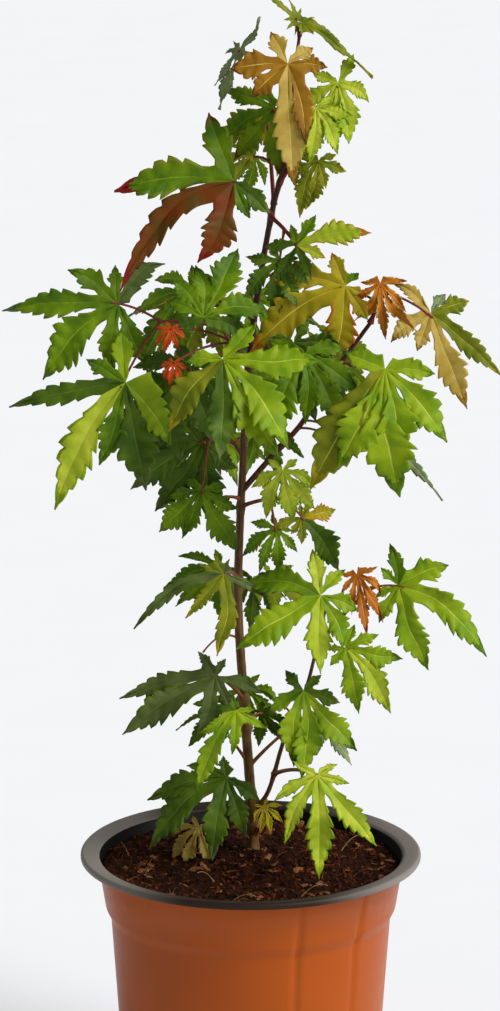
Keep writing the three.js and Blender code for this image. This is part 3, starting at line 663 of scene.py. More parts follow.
def new_node_group(name, inputs):
    tree = bpy.data.node_groups.new(name, "GeometryNodeTree")
    tree.interface.new_socket("Geometry", in_out="INPUT", socket_type="NodeSocketGeometry")
    for label, kind in inputs.items():
        tree.interface.new_socket(label, in_out="INPUT", socket_type=kind)
    tree.interface.new_socket("Geometry", in_out="OUTPUT", socket_type="NodeSocketGeometry")
    return tree, add(tree, "NodeGroupInput").outputs


def end_node_group(tree, geometry, finish):
    """Real copies with their finish, as every tree here ends."""
    real = add(tree, "GeometryNodeRealizeInstances", {"Geometry": geometry})
    painted = add(tree, "GeometryNodeSetMaterial", {
        "Geometry": real.outputs["Geometry"], "Material": finish,
    })
    add(tree, "NodeGroupOutput", {"Geometry": painted.outputs["Geometry"]})


# A full turn in radians, and how far upwards a face must look to carry a bit.
FULL_TURN, LOOKS_UP = 6.28, 0.6
scatter, given = new_node_group("scatter_bits", INPUTS)
upward = add(scatter, "GeometryNodeInputNormal")
steep = add(scatter, "ShaderNodeSeparateXYZ", {"Vector": upward.outputs["Normal"]})
on_top = add(scatter, "FunctionNodeCompare", {0: steep.outputs["Z"], 1: LOOKS_UP},
             data_type="FLOAT", operation="GREATER_THAN")
spots = add(scatter, "GeometryNodeDistributePointsOnFaces", {
    "Mesh": given["Geometry"], "Density": given["Density"], "Seed": given["Seed"],
    "Selection": on_top.outputs["Result"],
})
bit = add(scatter, "GeometryNodeObjectInfo", {"Object": given["Bit"]})
turn = add(scatter, "FunctionNodeRandomValue", {"Seed": given["Seed"]}, data_type="FLOAT_VECTOR")
turn.inputs[0].default_value = (-1.0, -1.0, 0.0)
turn.inputs[1].default_value = (1.0, 1.0, FULL_TURN)
tilt = add(scatter, "ShaderNodeCombineXYZ", {"X": given["Lean"], "Y": given["Lean"], "Z": 1.0})
turned_by = add(scatter, "ShaderNodeVectorMath",
                {0: turn.outputs["Value"], 1: tilt.outputs["Vector"]}, operation="MULTIPLY")
size = add(scatter, "FunctionNodeRandomValue", {
    2: given["Smallest"], 3: given["Largest"], "Seed": given["Seed"],
}, data_type="FLOAT")
copies = add(scatter, "GeometryNodeInstanceOnPoints", {
    "Points": spots.outputs["Points"], "Instance": bit.outputs["Geometry"],
    "Rotation": turned_by.outputs["Vector"], "Scale": size.outputs[1],
})
end_node_group(scatter, copies.outputs["Instances"], given["Finish"])
print("scatter tree nodes:", len(scatter.nodes))


# %% Running a tree on a piece
def grow(piece, tree, values):
    modifier = piece.modifiers.new(tree.name, "NODES")
    modifier.node_group = tree
    for item in tree.interface.items_tree:
        if item.in_out == "INPUT" and item.name in values:
            modifier[item.identifier] = values[item.name]
    apply_modifiers(piece)


print("the scatter tree can be told:", ", ".join(INPUTS))


# %% [markdown]
# ## What lies on the compost
# A crumb is a rough lump about 1 mm across, a chip is a flat splinter, and a coir fibre is a
# thin bent thread. Each is made once with few faces, and the tree sizes its copies.


# %% Making and scattering the bits
THREAD_RINGS, THREAD_SIDES = 6, 4


def lump(name, stretch, seed):
    """A ball of few faces, 1 mm wide, stretched and with its corners moved in or out."""
    form = bmesh.new()
    bmesh.ops.create_icosphere(form, subdivisions=1, radius=0.5 * MM)
    pick = seeded(seed)
    for corner in form.verts:
        corner.co = Vector(c * s * pick(0.7, 1.25) for c, s in zip(corner.co, stretch))
    mesh = bpy.data.meshes.new(name)
    form.to_mesh(mesh)
    form.free()
    return bpy.data.objects.new(name, mesh)


def thread(name, length, thickness, bend, finish):
    """A thin bent thread along X, a few mm long."""
    def at(share):
        return np.array([(share - 0.5) * length, bend * math.sin(3.1 * share),
                         0.3 * bend * math.sin(5 * share)])

    points = tube_rings(at, THREAD_RINGS, THREAD_SIDES,
                        lambda share, turn: thickness * (1 - 0.5 * abs(2 * share - 1)))
    piece = make_mesh(name, points, tube_faces(THREAD_RINGS, THREAD_SIDES), [finish])
    bpy.context.scene.collection.objects.unlink(piece)
    return piece


# Name, bit, how many in a square metre, smallest and largest size, how far it leans, finish.
SCATTERED = [
    ("compost_crumbs", lump("crumb", (1, 0.9, 0.8), 3), 90000, 0.9, 2.6, 3.0, crumb_finish),
    ("peat_crumbs", lump("peat_crumb", (1, 0.8, 0.7), 5), 120000, 0.7, 1.9, 3.0, peat),
    ("bark_chips", lump("chip", (2.2, 1, 0.35), 7), 11000, 1.2, 3.4, 0.5, bark_chip),
    ("coir_fibres", thread("fibre", 7, 0.11, 1.1, coir), 16000, 0.5, 1.5, 0.45, coir),
]
for number, (name, bit, density, low, high, lean, finish) in enumerate(SCATTERED):
    bed = bpy.data.objects.new(name, ground.data.copy())
    bpy.context.scene.collection.objects.link(bed)
    grow(bed, scatter, {
        "Bit": bit, "Density": float(density), "Smallest": low, "Largest": high,
        "Seed": number + 4, "Lean": lean, "Finish": finish,
    })
    finish_piece(bed, "compost")

# %% [markdown]
# ## Trunk and boughs
# A young maple's wood is a thin cane with a swelling at each pair of buds, a wavy foot where it
# was once cut back, and fine ridges. A skin modifier gives lumpy joints that are hard to
# steer, so the limb is a tube whose radius is a rule of height: taper, flare, nodes, ridges.

# %% Building the limbs
LIMB_SIDES = 28
# The heights, in mm, at which a limb has a pair of buds or carries a spray.
NODES = {
    "trunk": [124, 136, 163, 174, 222, 250, 283, 304, 316, 361, 374],
    "right_bough": [274, 306], "low_bough": [145, 168, 196],
}
# At each of them the wood swells, with a ring just below it: by what share, over how many mm.
SWELLING, RING, RING_BELOW = (0.3, 1.8), (0.1, 0.4), 2.6


def limb_radius(limb, share, height):
    taper = limb["foot"] + (limb["tip"] - limb["foot"]) * share
    above = height - limb["path"][0][2]
    return taper + limb["flare"] * math.exp(-above / limb["flare_height"])


def limb_mesh(name, rings, finish):
    """A tube whose radius tapers, swells at the nodes, and has ridges and a little roughness."""
    limb, along = LIMBS[name], limb_curves[name]

    def radius_at(share, turn):
        height = along(share)[2]
        radius = limb_radius(limb, share, height)
        swell = sum(hump(height - node, *SWELLING) for node in NODES[name])
        ring = sum(hump(height - node + RING_BELOW, *RING) for node in NODES[name])
        ridge = 0.035 * math.sin(5 * turn + 0.05 * height) + 0.02 * math.sin(11 * turn + 3)
        rough = 0.05 * noise.noise(Vector((2.0 * turn, 0.35 * height, 1.0)))
        return radius * (1 + swell + ring + ridge + rough)

    points = tube_rings(along, rings, LIMB_SIDES, radius_at)
    return make_mesh(name + "_wood", points, tube_faces(rings, LIMB_SIDES), [finish])


WOOD = {
    "trunk": (520, young_bark, "trunk_bark"), "right_bough": (160, bough_bark, "bough_bark"),
    "low_bough": (160, bough_bark, "bough_bark"),
}
for name, (rings, bark, slot) in WOOD.items():
    finish_piece(limb_mesh(name, rings, bark), slot, name)

# %% [markdown]
# ## The rule for a leaf
# A japanese maple leaf has seven lobes that fan out from the end of its petiole. Each lobe is
# narrow at the foot, widest past the middle and drawn out to a point, with two sizes of teeth.
# The lobes share the blade near the petiole and part at a sinus. So a leaf is seven strips:
# inside the sinus, two neighbours meet on the line halfway between them and share its points.
# Each strip is a small grid, which leaves room for a raised rib, side veins and wavy edges.

# %% Leaf sizes
# The angle of each lobe from the middle one, and its share of the leaf's full length.
LOBES = [(-128, 0.34), (-80, 0.66), (-39, 0.92), (0, 1.0), (39, 0.92), (80, 0.66), (128, 0.34)]
# Where two neighbours part, from one outer side to the other, as a share of the length.
PARTING = [0.06, 0.09, 0.14, 0.17, 0.17, 0.14, 0.09, 0.06]
INNER_ROWS = np.array([0.0, 0.03, 0.06, 0.09, 0.115, 0.14, 0.17])
# The outer sides of the last lobes end at this angle, or this far past the lobe, up to the most.
BACK_ANGLE, BACK_ROOM, BACK_MOST = 158, 12, 176
# A lobe longer than this share of the leaf has this many teeth.
TEETH = [(0.8, 6), (0.5, 5), (0, 3)]
LEAF = {
    "half_width": 0.128, "widest": 0.56, "fold": 0.3, "droop": 0.35, "angle_jitter": 4,
    "length_jitter": 0.06, "thinnest": 0.3, "thickness": 0.01, "sickle": 0.24,
    "bend": (-0.16, 0.08), "twist": 0.8, "wave": (0.015, 0.04), "spread": (0.88, 1.1),
    "tooth_depth": 0.34, "slant": 0.75, "rib_end": 0.93, "margin_start": 0.2,
    "least_width": 0.015, "freed": (0.25, 0.6), "ripples": 9, "side_veins": 0.05,
}
# The columns across a lobe, from one edge over the rib to the other, and what they are.
ACROSS = np.array([-1.0, -0.8, -0.45, -0.04, 0.0, 0.04, 0.45, 0.8, 1.0])
RIB_COLUMNS, MARGIN_COLUMNS = (3, 4), (0, 7)
# A tip's colour starts lower at the edges than beside the rib.
TIP_STARTS = [0.78, 0.82, 0.87, 0.93, 0.93, 0.87, 0.82, 0.78]
# Each tooth's rows: where they are in its span, and how far out the edge stands.
TOOTH_ROWS = [(0.0, 0.0), (0.3, 0.55), (0.58, 0.8), (0.84, 1.0)]
UP = np.array([0.0, 0.0, 1.0])
print("columns across a lobe:", len(ACROSS), "lobes of a leaf:", len(LOBES))


# %% Which way a leaf points
def leaf_axes(turn, lean, roll, facing):
    """Along the middle lobe, out of the face, and across. Angles are in degrees."""
    turn, lean, roll, facing = np.radians([turn, lean, roll, facing])
    right = np.array([math.cos(facing), math.sin(facing), 0.0])
    front = np.array([math.sin(facing), -math.cos(facing), 0.0])
    along = (right * math.cos(turn) + UP * math.sin(turn)) * math.cos(lean) + front * math.sin(lean)
    face = front - along * np.dot(front, along)
    face /= np.linalg.norm(face)
    rise = np.cross(along, face)
    if rise[2] < 0:
        rise = -rise
    face = face * math.cos(roll) + rise * math.sin(roll)
    return along, face, np.cross(face, along)


print("a leaf that hangs straight down points along:", leaf_axes(-90, 0, 0, 0)[0].round(3))


# %% One lobe
def lobe_half_width(s, foot_width, foot_share, width):
    """Half the width of a lobe at a share s of its length: a slight waist just past its sinus,
    then wider, then drawn out to the tip."""
    opened = foot_width + (width - foot_width) * smoothstep(s, foot_share, LEAF["widest"])
    opened = opened * (1 - 0.12 * np.exp(-((s - foot_share - 0.09) / 0.07) ** 2))
    t = np.clip((s - LEAF["widest"]) / (1 - LEAF["widest"]), 0, 1)
    closed = width * (1 - t ** 1.6) * (1 - 0.35 * t)
    return np.where(s < LEAF["widest"], opened, closed)


def lobe_rows(length, size, teeth, start):
    """Distances along the midrib, and how far out the edge's tooth stands in each row."""
    inner = INNER_ROWS[INNER_ROWS <= start + 1e-6] * size
    rows, tooth = list(inner), [0.0] * len(inner)
    first = start * size / length + 0.06
    spans = np.linspace(first, LEAF["rib_end"], teeth + 1)
    for low, high in zip(spans, spans[1:]):
        for phase, out in TOOTH_ROWS:
            rows.append((low + (high - low) * phase) * length)
            tooth.append(out)
    rows += [0.95 * length, length]
    tooth += [0.0, 0.0]
    return np.array(rows), np.array(tooth)


print("rows along a middle lobe:", len(lobe_rows(30, 30, TEETH[0][1], PARTING[3])[0]))


# %% One leaf
class BladeMaker:
    """Collects the blades of one spray: points, faces, and the finish of each face."""

    def __init__(self):
        self.points, self.faces, self.finishes, self.known, self.leaves = [], [], [], {}, []

    def corner(self, point):
        key = (len(self.leaves), *np.round(point, 3))
        if key not in self.known:
            self.known[key] = len(self.points)
            self.points.append(point)
        return self.known[key]

    def add_leaf(self, leaf, shape, tints, pick):
        first = len(self.points)
        for number in range(len(shape)):
            grid, s = lobe_grid(leaf, shape, number, pick)
            self.add_strip(grid, s, tints(number))
        self.leaves.append((first, len(self.points), leaf["size"]))

    def add_strip(self, grid, s, tint):
        body, margin, tip, rib = tint
        for j in range(len(s) - 1):
            for k in range(len(ACROSS) - 1):
                corners = [self.corner(p) for p in (
                    grid[j][k], grid[j + 1][k], grid[j + 1][k + 1], grid[j][k + 1])]
                unique = tuple(c for i, c in enumerate(corners) if c != corners[i - 1])
                if len(set(unique)) < 3:
                    continue
                finish = body
                if k in RIB_COLUMNS and s[j] < LEAF["rib_end"]:
                    finish = rib
                elif s[j] > TIP_STARTS[k]:
                    finish = tip
                elif k in MARGIN_COLUMNS and s[j] > LEAF["margin_start"]:
                    finish = margin
                self.faces.append(unique)
                self.finishes.append(finish)


# %% [markdown]
# ## The grid of one lobe
# A row runs across the lobe and a column along it. Inside the sinus, the outer points lie on the
# line where two neighbours meet. Past it, the lobe's own width, teeth and curves take over: the
# sickle turns it sideways, the bend lifts it, the twist rolls it, and the wave ripples its edge.

# %% Points of one lobe
def lobe_grid(leaf, shape, number, pick):
    """The points of one lobe, row by row from the petiole to the tip."""
    along, face, across = leaf_axes(leaf["turn"], leaf["lean"], leaf["roll"], leaf["facing"])
    base, size = np.array(leaf["at"], float), leaf["size"]
    crumple = leaf.get("crumple", 1.0)
    angle, share, own_width = shape[number]
    length = share * size
    teeth = next(count for longer_than, count in TEETH if share > longer_than)
    rows, tooth = lobe_rows(length, size, teeth, max(PARTING[number:number + 2]))
    s = rows / length
    width = (LEAF["half_width"] * length + LEAF["least_width"] * size) * leaf["width"] * own_width
    sickle = pick(-LEAF["sickle"], LEAF["sickle"]) * crumple
    sickle = leaf.get("sickles", {}).get(number, sickle)
    bend = pick(*LEAF["bend"]) * crumple
    twist = pick(-LEAF["twist"], LEAF["twist"]) * crumple
    wave = pick(*LEAF["wave"]) * crumple
    width *= pick(*LEAF["spread"])
    phase = pick(0, FULL_TURN)
    freed_from, freed_at = (size * part for part in LEAF["freed"])
    free_of_blade = smoothstep(rows, freed_from, freed_at) if share > 0.5 else 0.4 * s ** 2

    def place(heading_degrees, reach, aside=0.0, lift=0.0, roll=0.0):
        heading = math.radians(heading_degrees)
        way = along * math.cos(heading) + across * math.sin(heading)
        side = across * math.cos(heading) - along * math.sin(heading)
        way = way - UP * (LEAF["droop"] * reach / size)
        way /= np.linalg.norm(way)
        side = side * math.cos(roll) + face * math.sin(roll)
        return base + way * reach + side * aside + face * lift

    grid = [[None] * len(ACROSS) for _ in rows]
    for sign in (-1, 1):
        beside = number + sign
        if 0 <= beside < len(shape):
            meeting = (angle + shape[beside][0]) / 2
        else:
            meeting = sign * min(BACK_MOST, max(BACK_ANGLE, abs(angle) + BACK_ROOM))
        parting = PARTING[number + (1 if sign > 0 else 0)] * size
        slope = math.tan(math.radians(abs(meeting - angle)))
        free = lobe_half_width(s, parting * slope, parting / length, width)
        depth = (LEAF["tooth_depth"] * free + 0.012 * length * (1 - s)) * smoothstep(s, 0.15, 0.5)
        edge = free + (tooth - 0.5) * depth
        edge[-1] = 0.0
        for j, r in enumerate(rows):
            inside = r <= parting + 1e-6
            middle = place(angle, r)
            if inside:
                cut = r / math.cos(math.radians(meeting - angle))
                outer_end = place(meeting, cut, lift=LEAF["fold"] * r * slope)
            for k, u in enumerate(ACROSS):
                if u * sign < 0:
                    continue
                if inside:
                    grid[j][k] = middle + (outer_end - middle) * abs(u)
                    continue
                h = u * edge[j]
                opened = free_of_blade[j]
                heading = angle + math.degrees(sickle * opened * s[j])
                slant = LEAF["slant"] * smoothstep(r, parting, 0.5 * length) * (1 - s[j])
                lift = (LEAF["fold"] - 0.12 * abs(u)) * abs(h) + bend * opened * s[j] * length
                lift += wave * length * u * u * math.sin(LEAF["ripples"] * s[j] + phase + 2 * u)
                lift += LEAF["side_veins"] * width * abs(u) * (1 if j % 4 < 2 else -1)
                grid[j][k] = place(heading, min(r + abs(h) * slant, length), h, lift,
                                   twist * opened * s[j])
    return grid, s


# %% [markdown]
# ## Which colours a leaf has
# In autumn a maple turns leaf by leaf. Each tint names the finish of the blade, its margin,
# its tips and its ribs. Plain colours on faces are chosen instead of a painted image, so each
# lobe has a clean edge between its colours, and every leaf can be changed by one word.

# %% Tints
TINTS = {
    "green": ("green", "green", "deep", "green_rib"),
    "bright": ("bright", "bright", "green", "light_rib"),
    "lime": ("lime", "bright", "bright", "light_rib"),
    "deep": ("deep", "deep", "dusk", "dark_rib"),
    "dusk": ("dusk", "deep", "dusk", "dark_rib"),
    "olive": ("olive", "olive", "bronze", "light_rib"),
    "olive_tip": ("green", "olive", "maroon", "green_rib"),
    "bronze": ("bronze", "bronze", "orange", "gold_rib"),
    "tan": ("tan", "tan", "umber", "gold_rib"),
    "amber": ("bronze", "orange", "olive", "gold_rib"),
    "orange": ("orange", "orange", "russet", "gold_rib"),
    "russet": ("orange", "tan", "russet", "gold_rib"),
    "umber": ("umber", "umber", "maroon", "gold_rib"),
    "young": ("scarlet", "scarlet", "crimson", "red_rib"),
    "maroon": ("maroon", "maroon", "crimson", "red_rib"),
    "red_tip": ("green", "olive", "crimson", "green_rib"),
    "grey": ("grey", "dusk", "grey", "light_rib"),
    "flame": ("lime", "bronze", "orange", "light_rib"),
}
SKINS = {**tissues, **rib_tissues}
SKIN_NUMBERS = {name: number for number, name in enumerate(SKINS)}
print("tints:", len(TINTS), "from materials:", len(SKINS))

# %% [markdown]
# ## The sprays
# A spray is one shoot with its leaves. Each row gives where the leaf leaves the shoot, the
# place of its blade's foot, the length of its middle lobe, then the way it points, how far it
# comes forward, how far it tips upwards, how wide its lobes are, and its tint. A leaf with a
# shape of its own also lists the angle and the share of the full length of its seven lobes, and
# the width of a lobe that is narrower or wider than the rest.

# %% Table of sprays
SPRAYS = {
    "crown_top_spray": ("trunk", 381, (18, 1, 430), 11, "bronze_leaf", [
        (1, 19, 0, 434, 32, -23, 10, 55, 0.6, "olive",
         [(-125, 0.15), (-70, 0.2), (-30, 0.2), (0, 1, 0.6), (16, 0.45), (75, 0.2), (125, 0.15)]),
        (0.98, 17, 0, 435, 20, 131, 10, 40, 0.6, "olive",
         [(-125, 0.2), (-70, 0.3), (-30, 0.4), (0, 1), (35, 0.3), (75, 0.3), (125, 0.3)]),
        (0.7, 13.5, -14, 421, 43, -86, 20, 5, 1.1, "tan",
         [(-160, 0.3), (-92, 0.5, 1.2), (-60, 0.42), (0, 1, 0.7), (14, 0.72, 0.6),
          (87, 0.36), (122, 0.25)]),
        (0.7, -4, 12, 423, 23, -114, 0, 40, 0.6, "grey",
         [(-110, 0.2), (-60, 0.3), (-20, 0.8), (0, 1), (30, 0.4), (90, 0.2), (155, 0.6)]),
        (0.3, 9, 12, 401, 29, -135, 8, 15, 1.25, "olive_tip",
         [(-100, 0.4), (-70, 0.7), (-35, 0.9), (0, 0.85), (40, 0.9), (80, 0.7), (120, 0.4)]),
    ]),
    "crown_right_spray": ("trunk", 374, (29, 1, 398), 12, "light_leaf", [
        (1, 32, 0, 412, 25, -92, 20, 5, 1.3, "lime",
         [(-110, 0.4), (-60, 0.7), (-25, 1), (0, 1), (25, 0.95), (78, 0.55), (150, 0.5)]),
        (0.8, 24, -8, 404, 21, -86, 20, 5, 1.25, "lime", None),
        (0.5, 25, -5, 384, 22, -100, 10, 5, 1.2, "olive",
         [(-110, 0.3), (-60, 0.4), (-25, 1), (0, 0.8), (25, 0.5), (80, 0.5), (120, 0.3)]),
    ]),
    "red_tip_leaf": ("trunk", 362, (-6, -10, 377), 13, "red_tipped_leaf", [
        (1, -6, -10, 377, 58, -157, 14, 15, 1.15, "red_tip",
         [(-140, 0.2), (-98, 0.45), (-40, 0.73), (0, 0.95, 0.6), (44, 0.58, 1.1),
          (81, 0.24), (115, 0.3)]),
    ]),
    "upper_right_leaf": ("trunk", 361, (17, -8, 353), 14, "dark_leaf", [
        (1, 17, -8, 353, 28, 28, 10, 20, 1.15, "flame",
         [(-145, 0.5), (-85, 0.5), (-38, 0.45), (0, 1), (35, 0.5), (80, 0.3), (150, 0.45)]),
        (0.5, 11, -7, 347, 21, -110, 10, 10, 1.3, "deep", None),
    ]),
    "high_left_spray": ("trunk", 316, (-34, -6, 324), 15, "green_leaf", [
        (1, -49, -8, 331, 46, 165, 8, 15, 1.1, "green",
         [(-104, 0.48), (-70, 0.3), (-38, 0.5), (-5, 0.96, 0.75), (41, 0.9, 1.2),
          (88, 0.55), (128, 0.55)]),
        (1, -46, -20, 304, 55, -133, 12, 10, 1.15, "bright",
         [(-135, 0.35), (-80, 0.32), (-47, 0.85, 0.5), (0, 1, 0.8), (24, 0.55, 0.8),
          (51, 0.7), (88, 0.5)]),
    ]),
    "front_centre_spray": ("trunk", 304, (-8, -20, 320), 16, "green_leaf", [
        (1, -17, -24, 329, 31, 85, -25, 0, 1.35, "green",
         [(-90, 0.65), (-52, 0.8), (-20, 1), (0, 0.65), (30, 0.58), (62, 0.5), (110, 0.4)]),
        (1, -10, -36, 316, 46, -63, 26, 5, 1.2, "bright",
         [(-125, 0.3), (-80, 0.74), (-20, 0.86), (3, 0.84), (26, 0.86, 1.1),
          (66, 0.78), (115, 0.4)]),
        (0.9, -29, -28, 326, 10, -110, 20, 20, 1, "young", None),
        (0.8, -28, -32, 314, 9, -100, 20, 20, 1, "young", None),
        (0.5, -22, -14, 309, 31, -118, 12, 8, 1.3, "deep", None),
    ]),
    "centre_right_leaf": ("trunk", 309, (20, -26, 315), 17, "green_leaf", [
        (1, 20, -22, 315, 33, -84, 26, 5, 1.3, "green",
         [(-115, 0.45), (-72, 0.9), (-36, 1), (0, 0.78, 0.8), (28, 0.85), (60, 0.7), (110, 0.45)]),
        (0.5, 16, -15, 318, 30, -72, 4, 8, 1.3, "deep", None),
    ]),
    "bronze_spray": ("right_bough", 322, (50, 0, 334), 18, "bronze_leaf", [
        (0.6, 35, -8, 338, 45, -166, 0, 10, 1.35, "bronze",
         [(-140, 0.15), (-83, 0.3), (-33, 0.62), (0, 1), (73, 0.62), (109, 0.34), (140, 0.15)]),
        (0.8, 48, -3, 338, 24, -88, 15, 5, 0.8, "russet",
         [(-100, 0.3), (-60, 0.55), (-25, 0.8), (0, 0.88), (22, 0.9), (50, 0.6), (100, 0.4)]),
        (1, 67, 0, 326, 36, -69, 16, 10, 1.05, "tan",
         [(-162, 0.5, 0.6), (-88, 0.5), (-45, 0.4), (3, 1, 0.7), (36, 0.97, 0.55),
          (92, 0.42, 1.2), (130, 0.25)]),
    ]),
    "right_green_spray": ("right_bough", 306, (50, -8, 304), 19, "light_leaf", [
        (1, 49, -34, 312, 50, -104, 20, 5, 1.05, "bright",
         [(-98, 0.32), (-26, 1), (-9, 0.85), (5, 0.9), (25, 0.68), (65, 0.67), (104, 0.36)]),
        (0.8, 49, 12, 276, 36, -38, 0, 40, 0.35, "grey",
         [(-125, 0.15), (-80, 0.25), (-40, 0.35), (0, 1), (40, 0.3), (80, 0.2), (125, 0.15)]),
    ]),
    "mid_left_spray": ("trunk", 283, (-16, 7, 276), 20, "dark_leaf", [
        (0.9, -18, 8, 275, 32, -166, 10, 12, 1.4, "deep",
         [(-90, 0.4), (-60, 0.6), (-32, 0.85), (0, 1), (42, 0.95), (82, 0.9), (125, 0.5)]),
        (0.6, -33, 2, 296, 30, -110, 8, 8, 1.3, "deep", None),
        (1, -18, 2, 258, 28, -98, 10, 8, 1.3, "green",
         [(-120, 0.3), (-75, 0.5), (-42, 0.78, 1.3), (-18, 0.7), (34, 1, 1.1),
          (68, 0.55), (110, 0.3)]),
    ]),
    "mid_right_spray": ("trunk", 250, (12, -4, 256), 21, "light_leaf", [
        (0.8, 12, -12, 269, 20, -85, 20, 5, 1.25, "lime", None),
        (1, 19, 0, 248, 25, -38, 0, 15, 1.2, "olive",
         [(-128, 0.5), (-80, 0.3), (-45, 0.4), (-4, 1, 1.5), (57, 0.55, 1.2),
          (95, 0.35), (125, 0.2)]),
        (0.7, 10, -2, 244, 17, -125, 15, 10, 1.1, "green", None),
    ]),
    "low_right_spray": ("low_bough", 207, (29, -6, 216), 22, "light_leaf", [
        (1, 26, -20, 223, 37, -150, 14, 12, 1.2, "bright",
         [(-152, 0.35), (-116, 0.5), (-64, 0.78), (-3, 0.96), (50, 0.78), (94, 0.6), (138, 0.4)]),
        (0.7, 35.5, -20, 203, 31, -33, 16, 10, 1.1, "bright",
         [(-140, 0.2), (-100, 0.3), (-40, 0.82), (0, 1), (22, 0.7), (62, 0.42), (110, 0.3)]),
    ]),
    "outer_right_spray": ("low_bough", 196, (46, 4, 220), 23, "light_leaf", [
        (0.9, 40, 0, 226, 23, -75, 15, 5, 0.75, "orange",
         [(-100, 0.3), (-60, 0.4), (-25, 0.7), (0, 1), (20, 0.9), (55, 0.5), (100, 0.35)]),
        (1, 56, 2, 221, 41, -12, 8, 12, 1.1, "bright",
         [(-148, 0.25), (-110, 0.4), (-66, 0.82), (0, 1), (48, 0.5, 1.3),
          (110, 0.42), (150, 0.25)]),
    ]),
    "low_left_leaf": ("trunk", 222, (-10, -18, 231), 24, "dark_leaf", [
        (1, -10, -18, 231, 40, -174, 8, 12, 0.6, "olive",
         [(-110, 0.15), (-70, 0.2), (-35, 0.25), (0, 1, 0.8), (40, 0.55),
          (93, 0.78, 1.2), (148, 0.45)]),
    ]),
    "dark_left_leaf": ("trunk", 174, (-13, -10, 189), 25, "dark_leaf", [
        (1, -13, -10, 189, 39, -160, 10, 20, 1, "dusk",
         [(-130, 0.2), (-85, 0.3), (-20, 0.96, 0.8), (0, 1, 1.1), (52, 0.62),
          (92, 0.35), (148, 0.45)]),
    ]),
    "dark_front_leaf": ("trunk", 163, (-5.5, -18, 178), 26, "dark_leaf", [
        (1, -5.5, -18, 178, 34, -128, 14, 10, 0.75, "bright",
         [(-125, 0.2), (-70, 0.25), (-25, 0.5), (0, 1), (34, 0.5), (95, 0.4), (130, 0.2)]),
    ]),
    "low_centre_spray": ("low_bough", 168, (20, -8, 179), 27, "light_leaf", [
        (1, 20, -12, 184, 34, -77, 20, 8, 1.15, "bright",
         [(-145, 0.3), (-79, 0.48), (-32, 0.8), (0, 1), (30, 0.92), (66, 0.45), (125, 0.25)]),
        (0.6, 27, -2, 170, 21, -52, 8, 20, 0.85, "grey",
         [(-125, 0.2), (-80, 0.25), (-40, 0.6), (0, 1), (35, 0.6), (80, 0.3), (125, 0.2)]),
    ]),
    "rim_leaf": ("low_bough", 145, (25, -26, 155), 28, "light_leaf", [
        (1, 25, -26, 155, 41, -85, 22, 5, 0.8, "lime",
         [(-120, 0.25), (-72, 0.44), (-46, 0.72), (0, 1), (43, 0.88), (74, 0.3), (125, 0.2)]),
    ]),
    "foot_left_leaf": ("trunk", 136, (-9, -6, 148), 29, "dark_leaf", [
        (1, -9, -6, 148, 41, -155, 12, 25, 1.15, "deep",
         [(-100, 0.2), (-60, 0.4), (-29, 0.78), (-7, 0.95), (45, 0.82), (85, 0.6), (125, 0.4)]),
    ]),
    "foot_shoot": ("trunk", 124, (5, 5, 133), 30, "light_leaf", [
        (1, 5, 5, 133, 11, -60, 20, 20, 1, "bronze", None),
    ]),
}
BACK_SPRAYS = {
    "back_top_spray": ("trunk", 366, (6, 30, 396), 31, 180, 19, ("olive", "bright", "bronze")),
    "back_upper_spray": ("trunk", 322, (-16, 36, 322), 32, 200, 34, ("green", "green", "olive")),
    "back_right_spray": ("trunk", 294, (28, 34, 306), 33, 145, 32, ("bright", "green", "lime")),
    "back_middle_spray": ("trunk", 269, (-10, 38, 271), 34, 190, 30, ("green", "deep", "bright")),
    "back_low_spray": ("trunk", 216, (0, 34, 212), 35, 170, 26, ("lime", "green", "deep")),
    "back_foot_spray": ("trunk", 156, (-2, 36, 168), 36, 185, 21, ("deep", "green", "green")),
}
GROWTH = {
    "petiole": 0.5, "spread": 48, "turn": 42, "turn_jitter": 14, "lean": (5, 30), "roll_low": 10,
}
STEM = {"foot": 0.85, "tip": 0.6, "arch": 0.1}
PETIOLE = {"radius": 0.5, "arch": 0.14, "sink": 0.05, "shortest": 3, "taper": 0.85, "top": 0.98}
print("leaves in the table:", sum(len(row[-1]) for row in SPRAYS.values()))


# %% [markdown]
# ## Stalks that follow a path
# A stem or petiole is a line with a thickness at each point, swollen where it joins the twig
# and where it meets the blade. Geometry Nodes turn all lines of a spray into tubes at once: the
# mesh edges become curves, the stored thickness their radius, and a circle is swept along.

# %% A tree that sweeps lines into tubes
tubes, given = new_node_group("lines_to_stalks", {
    "Sides": "NodeSocketInt", "Finish": "NodeSocketMaterial",
})
lines = add(tubes, "GeometryNodeMeshToCurve", {"Mesh": given["Geometry"]})
thickness = add(tubes, "GeometryNodeInputNamedAttribute", {"Name": "thickness"}, data_type="FLOAT")
sized = add(tubes, "GeometryNodeSetCurveRadius", {
    "Curve": lines.outputs["Curve"], "Radius": thickness.outputs["Attribute"],
})
circle = add(tubes, "GeometryNodeCurvePrimitiveCircle", {
    "Resolution": given["Sides"], "Radius": 1.0,
}, mode="RADIUS")
radius = add(tubes, "GeometryNodeInputRadius")
swept = add(tubes, "GeometryNodeCurveToMesh", {
    "Curve": sized.outputs["Curve"], "Profile Curve": circle.outputs["Curve"],
    "Scale": radius.outputs["Radius"], "Fill Caps": True,
})
end_node_group(tubes, swept.outputs["Mesh"], given["Finish"])
print("stalk tree nodes:", len(tubes.nodes))


# %% Lines with a thickness
STALK_SIDES, STALK_STEP, FEWEST_STEPS = 10, 1.2, 8
# A stalk is thicker at its foot and at its blade: by what share, over how many mm.
FOOT_SWELLING, BLADE_SWELLING = (0.7, 1.6), (0.45, 1.2)


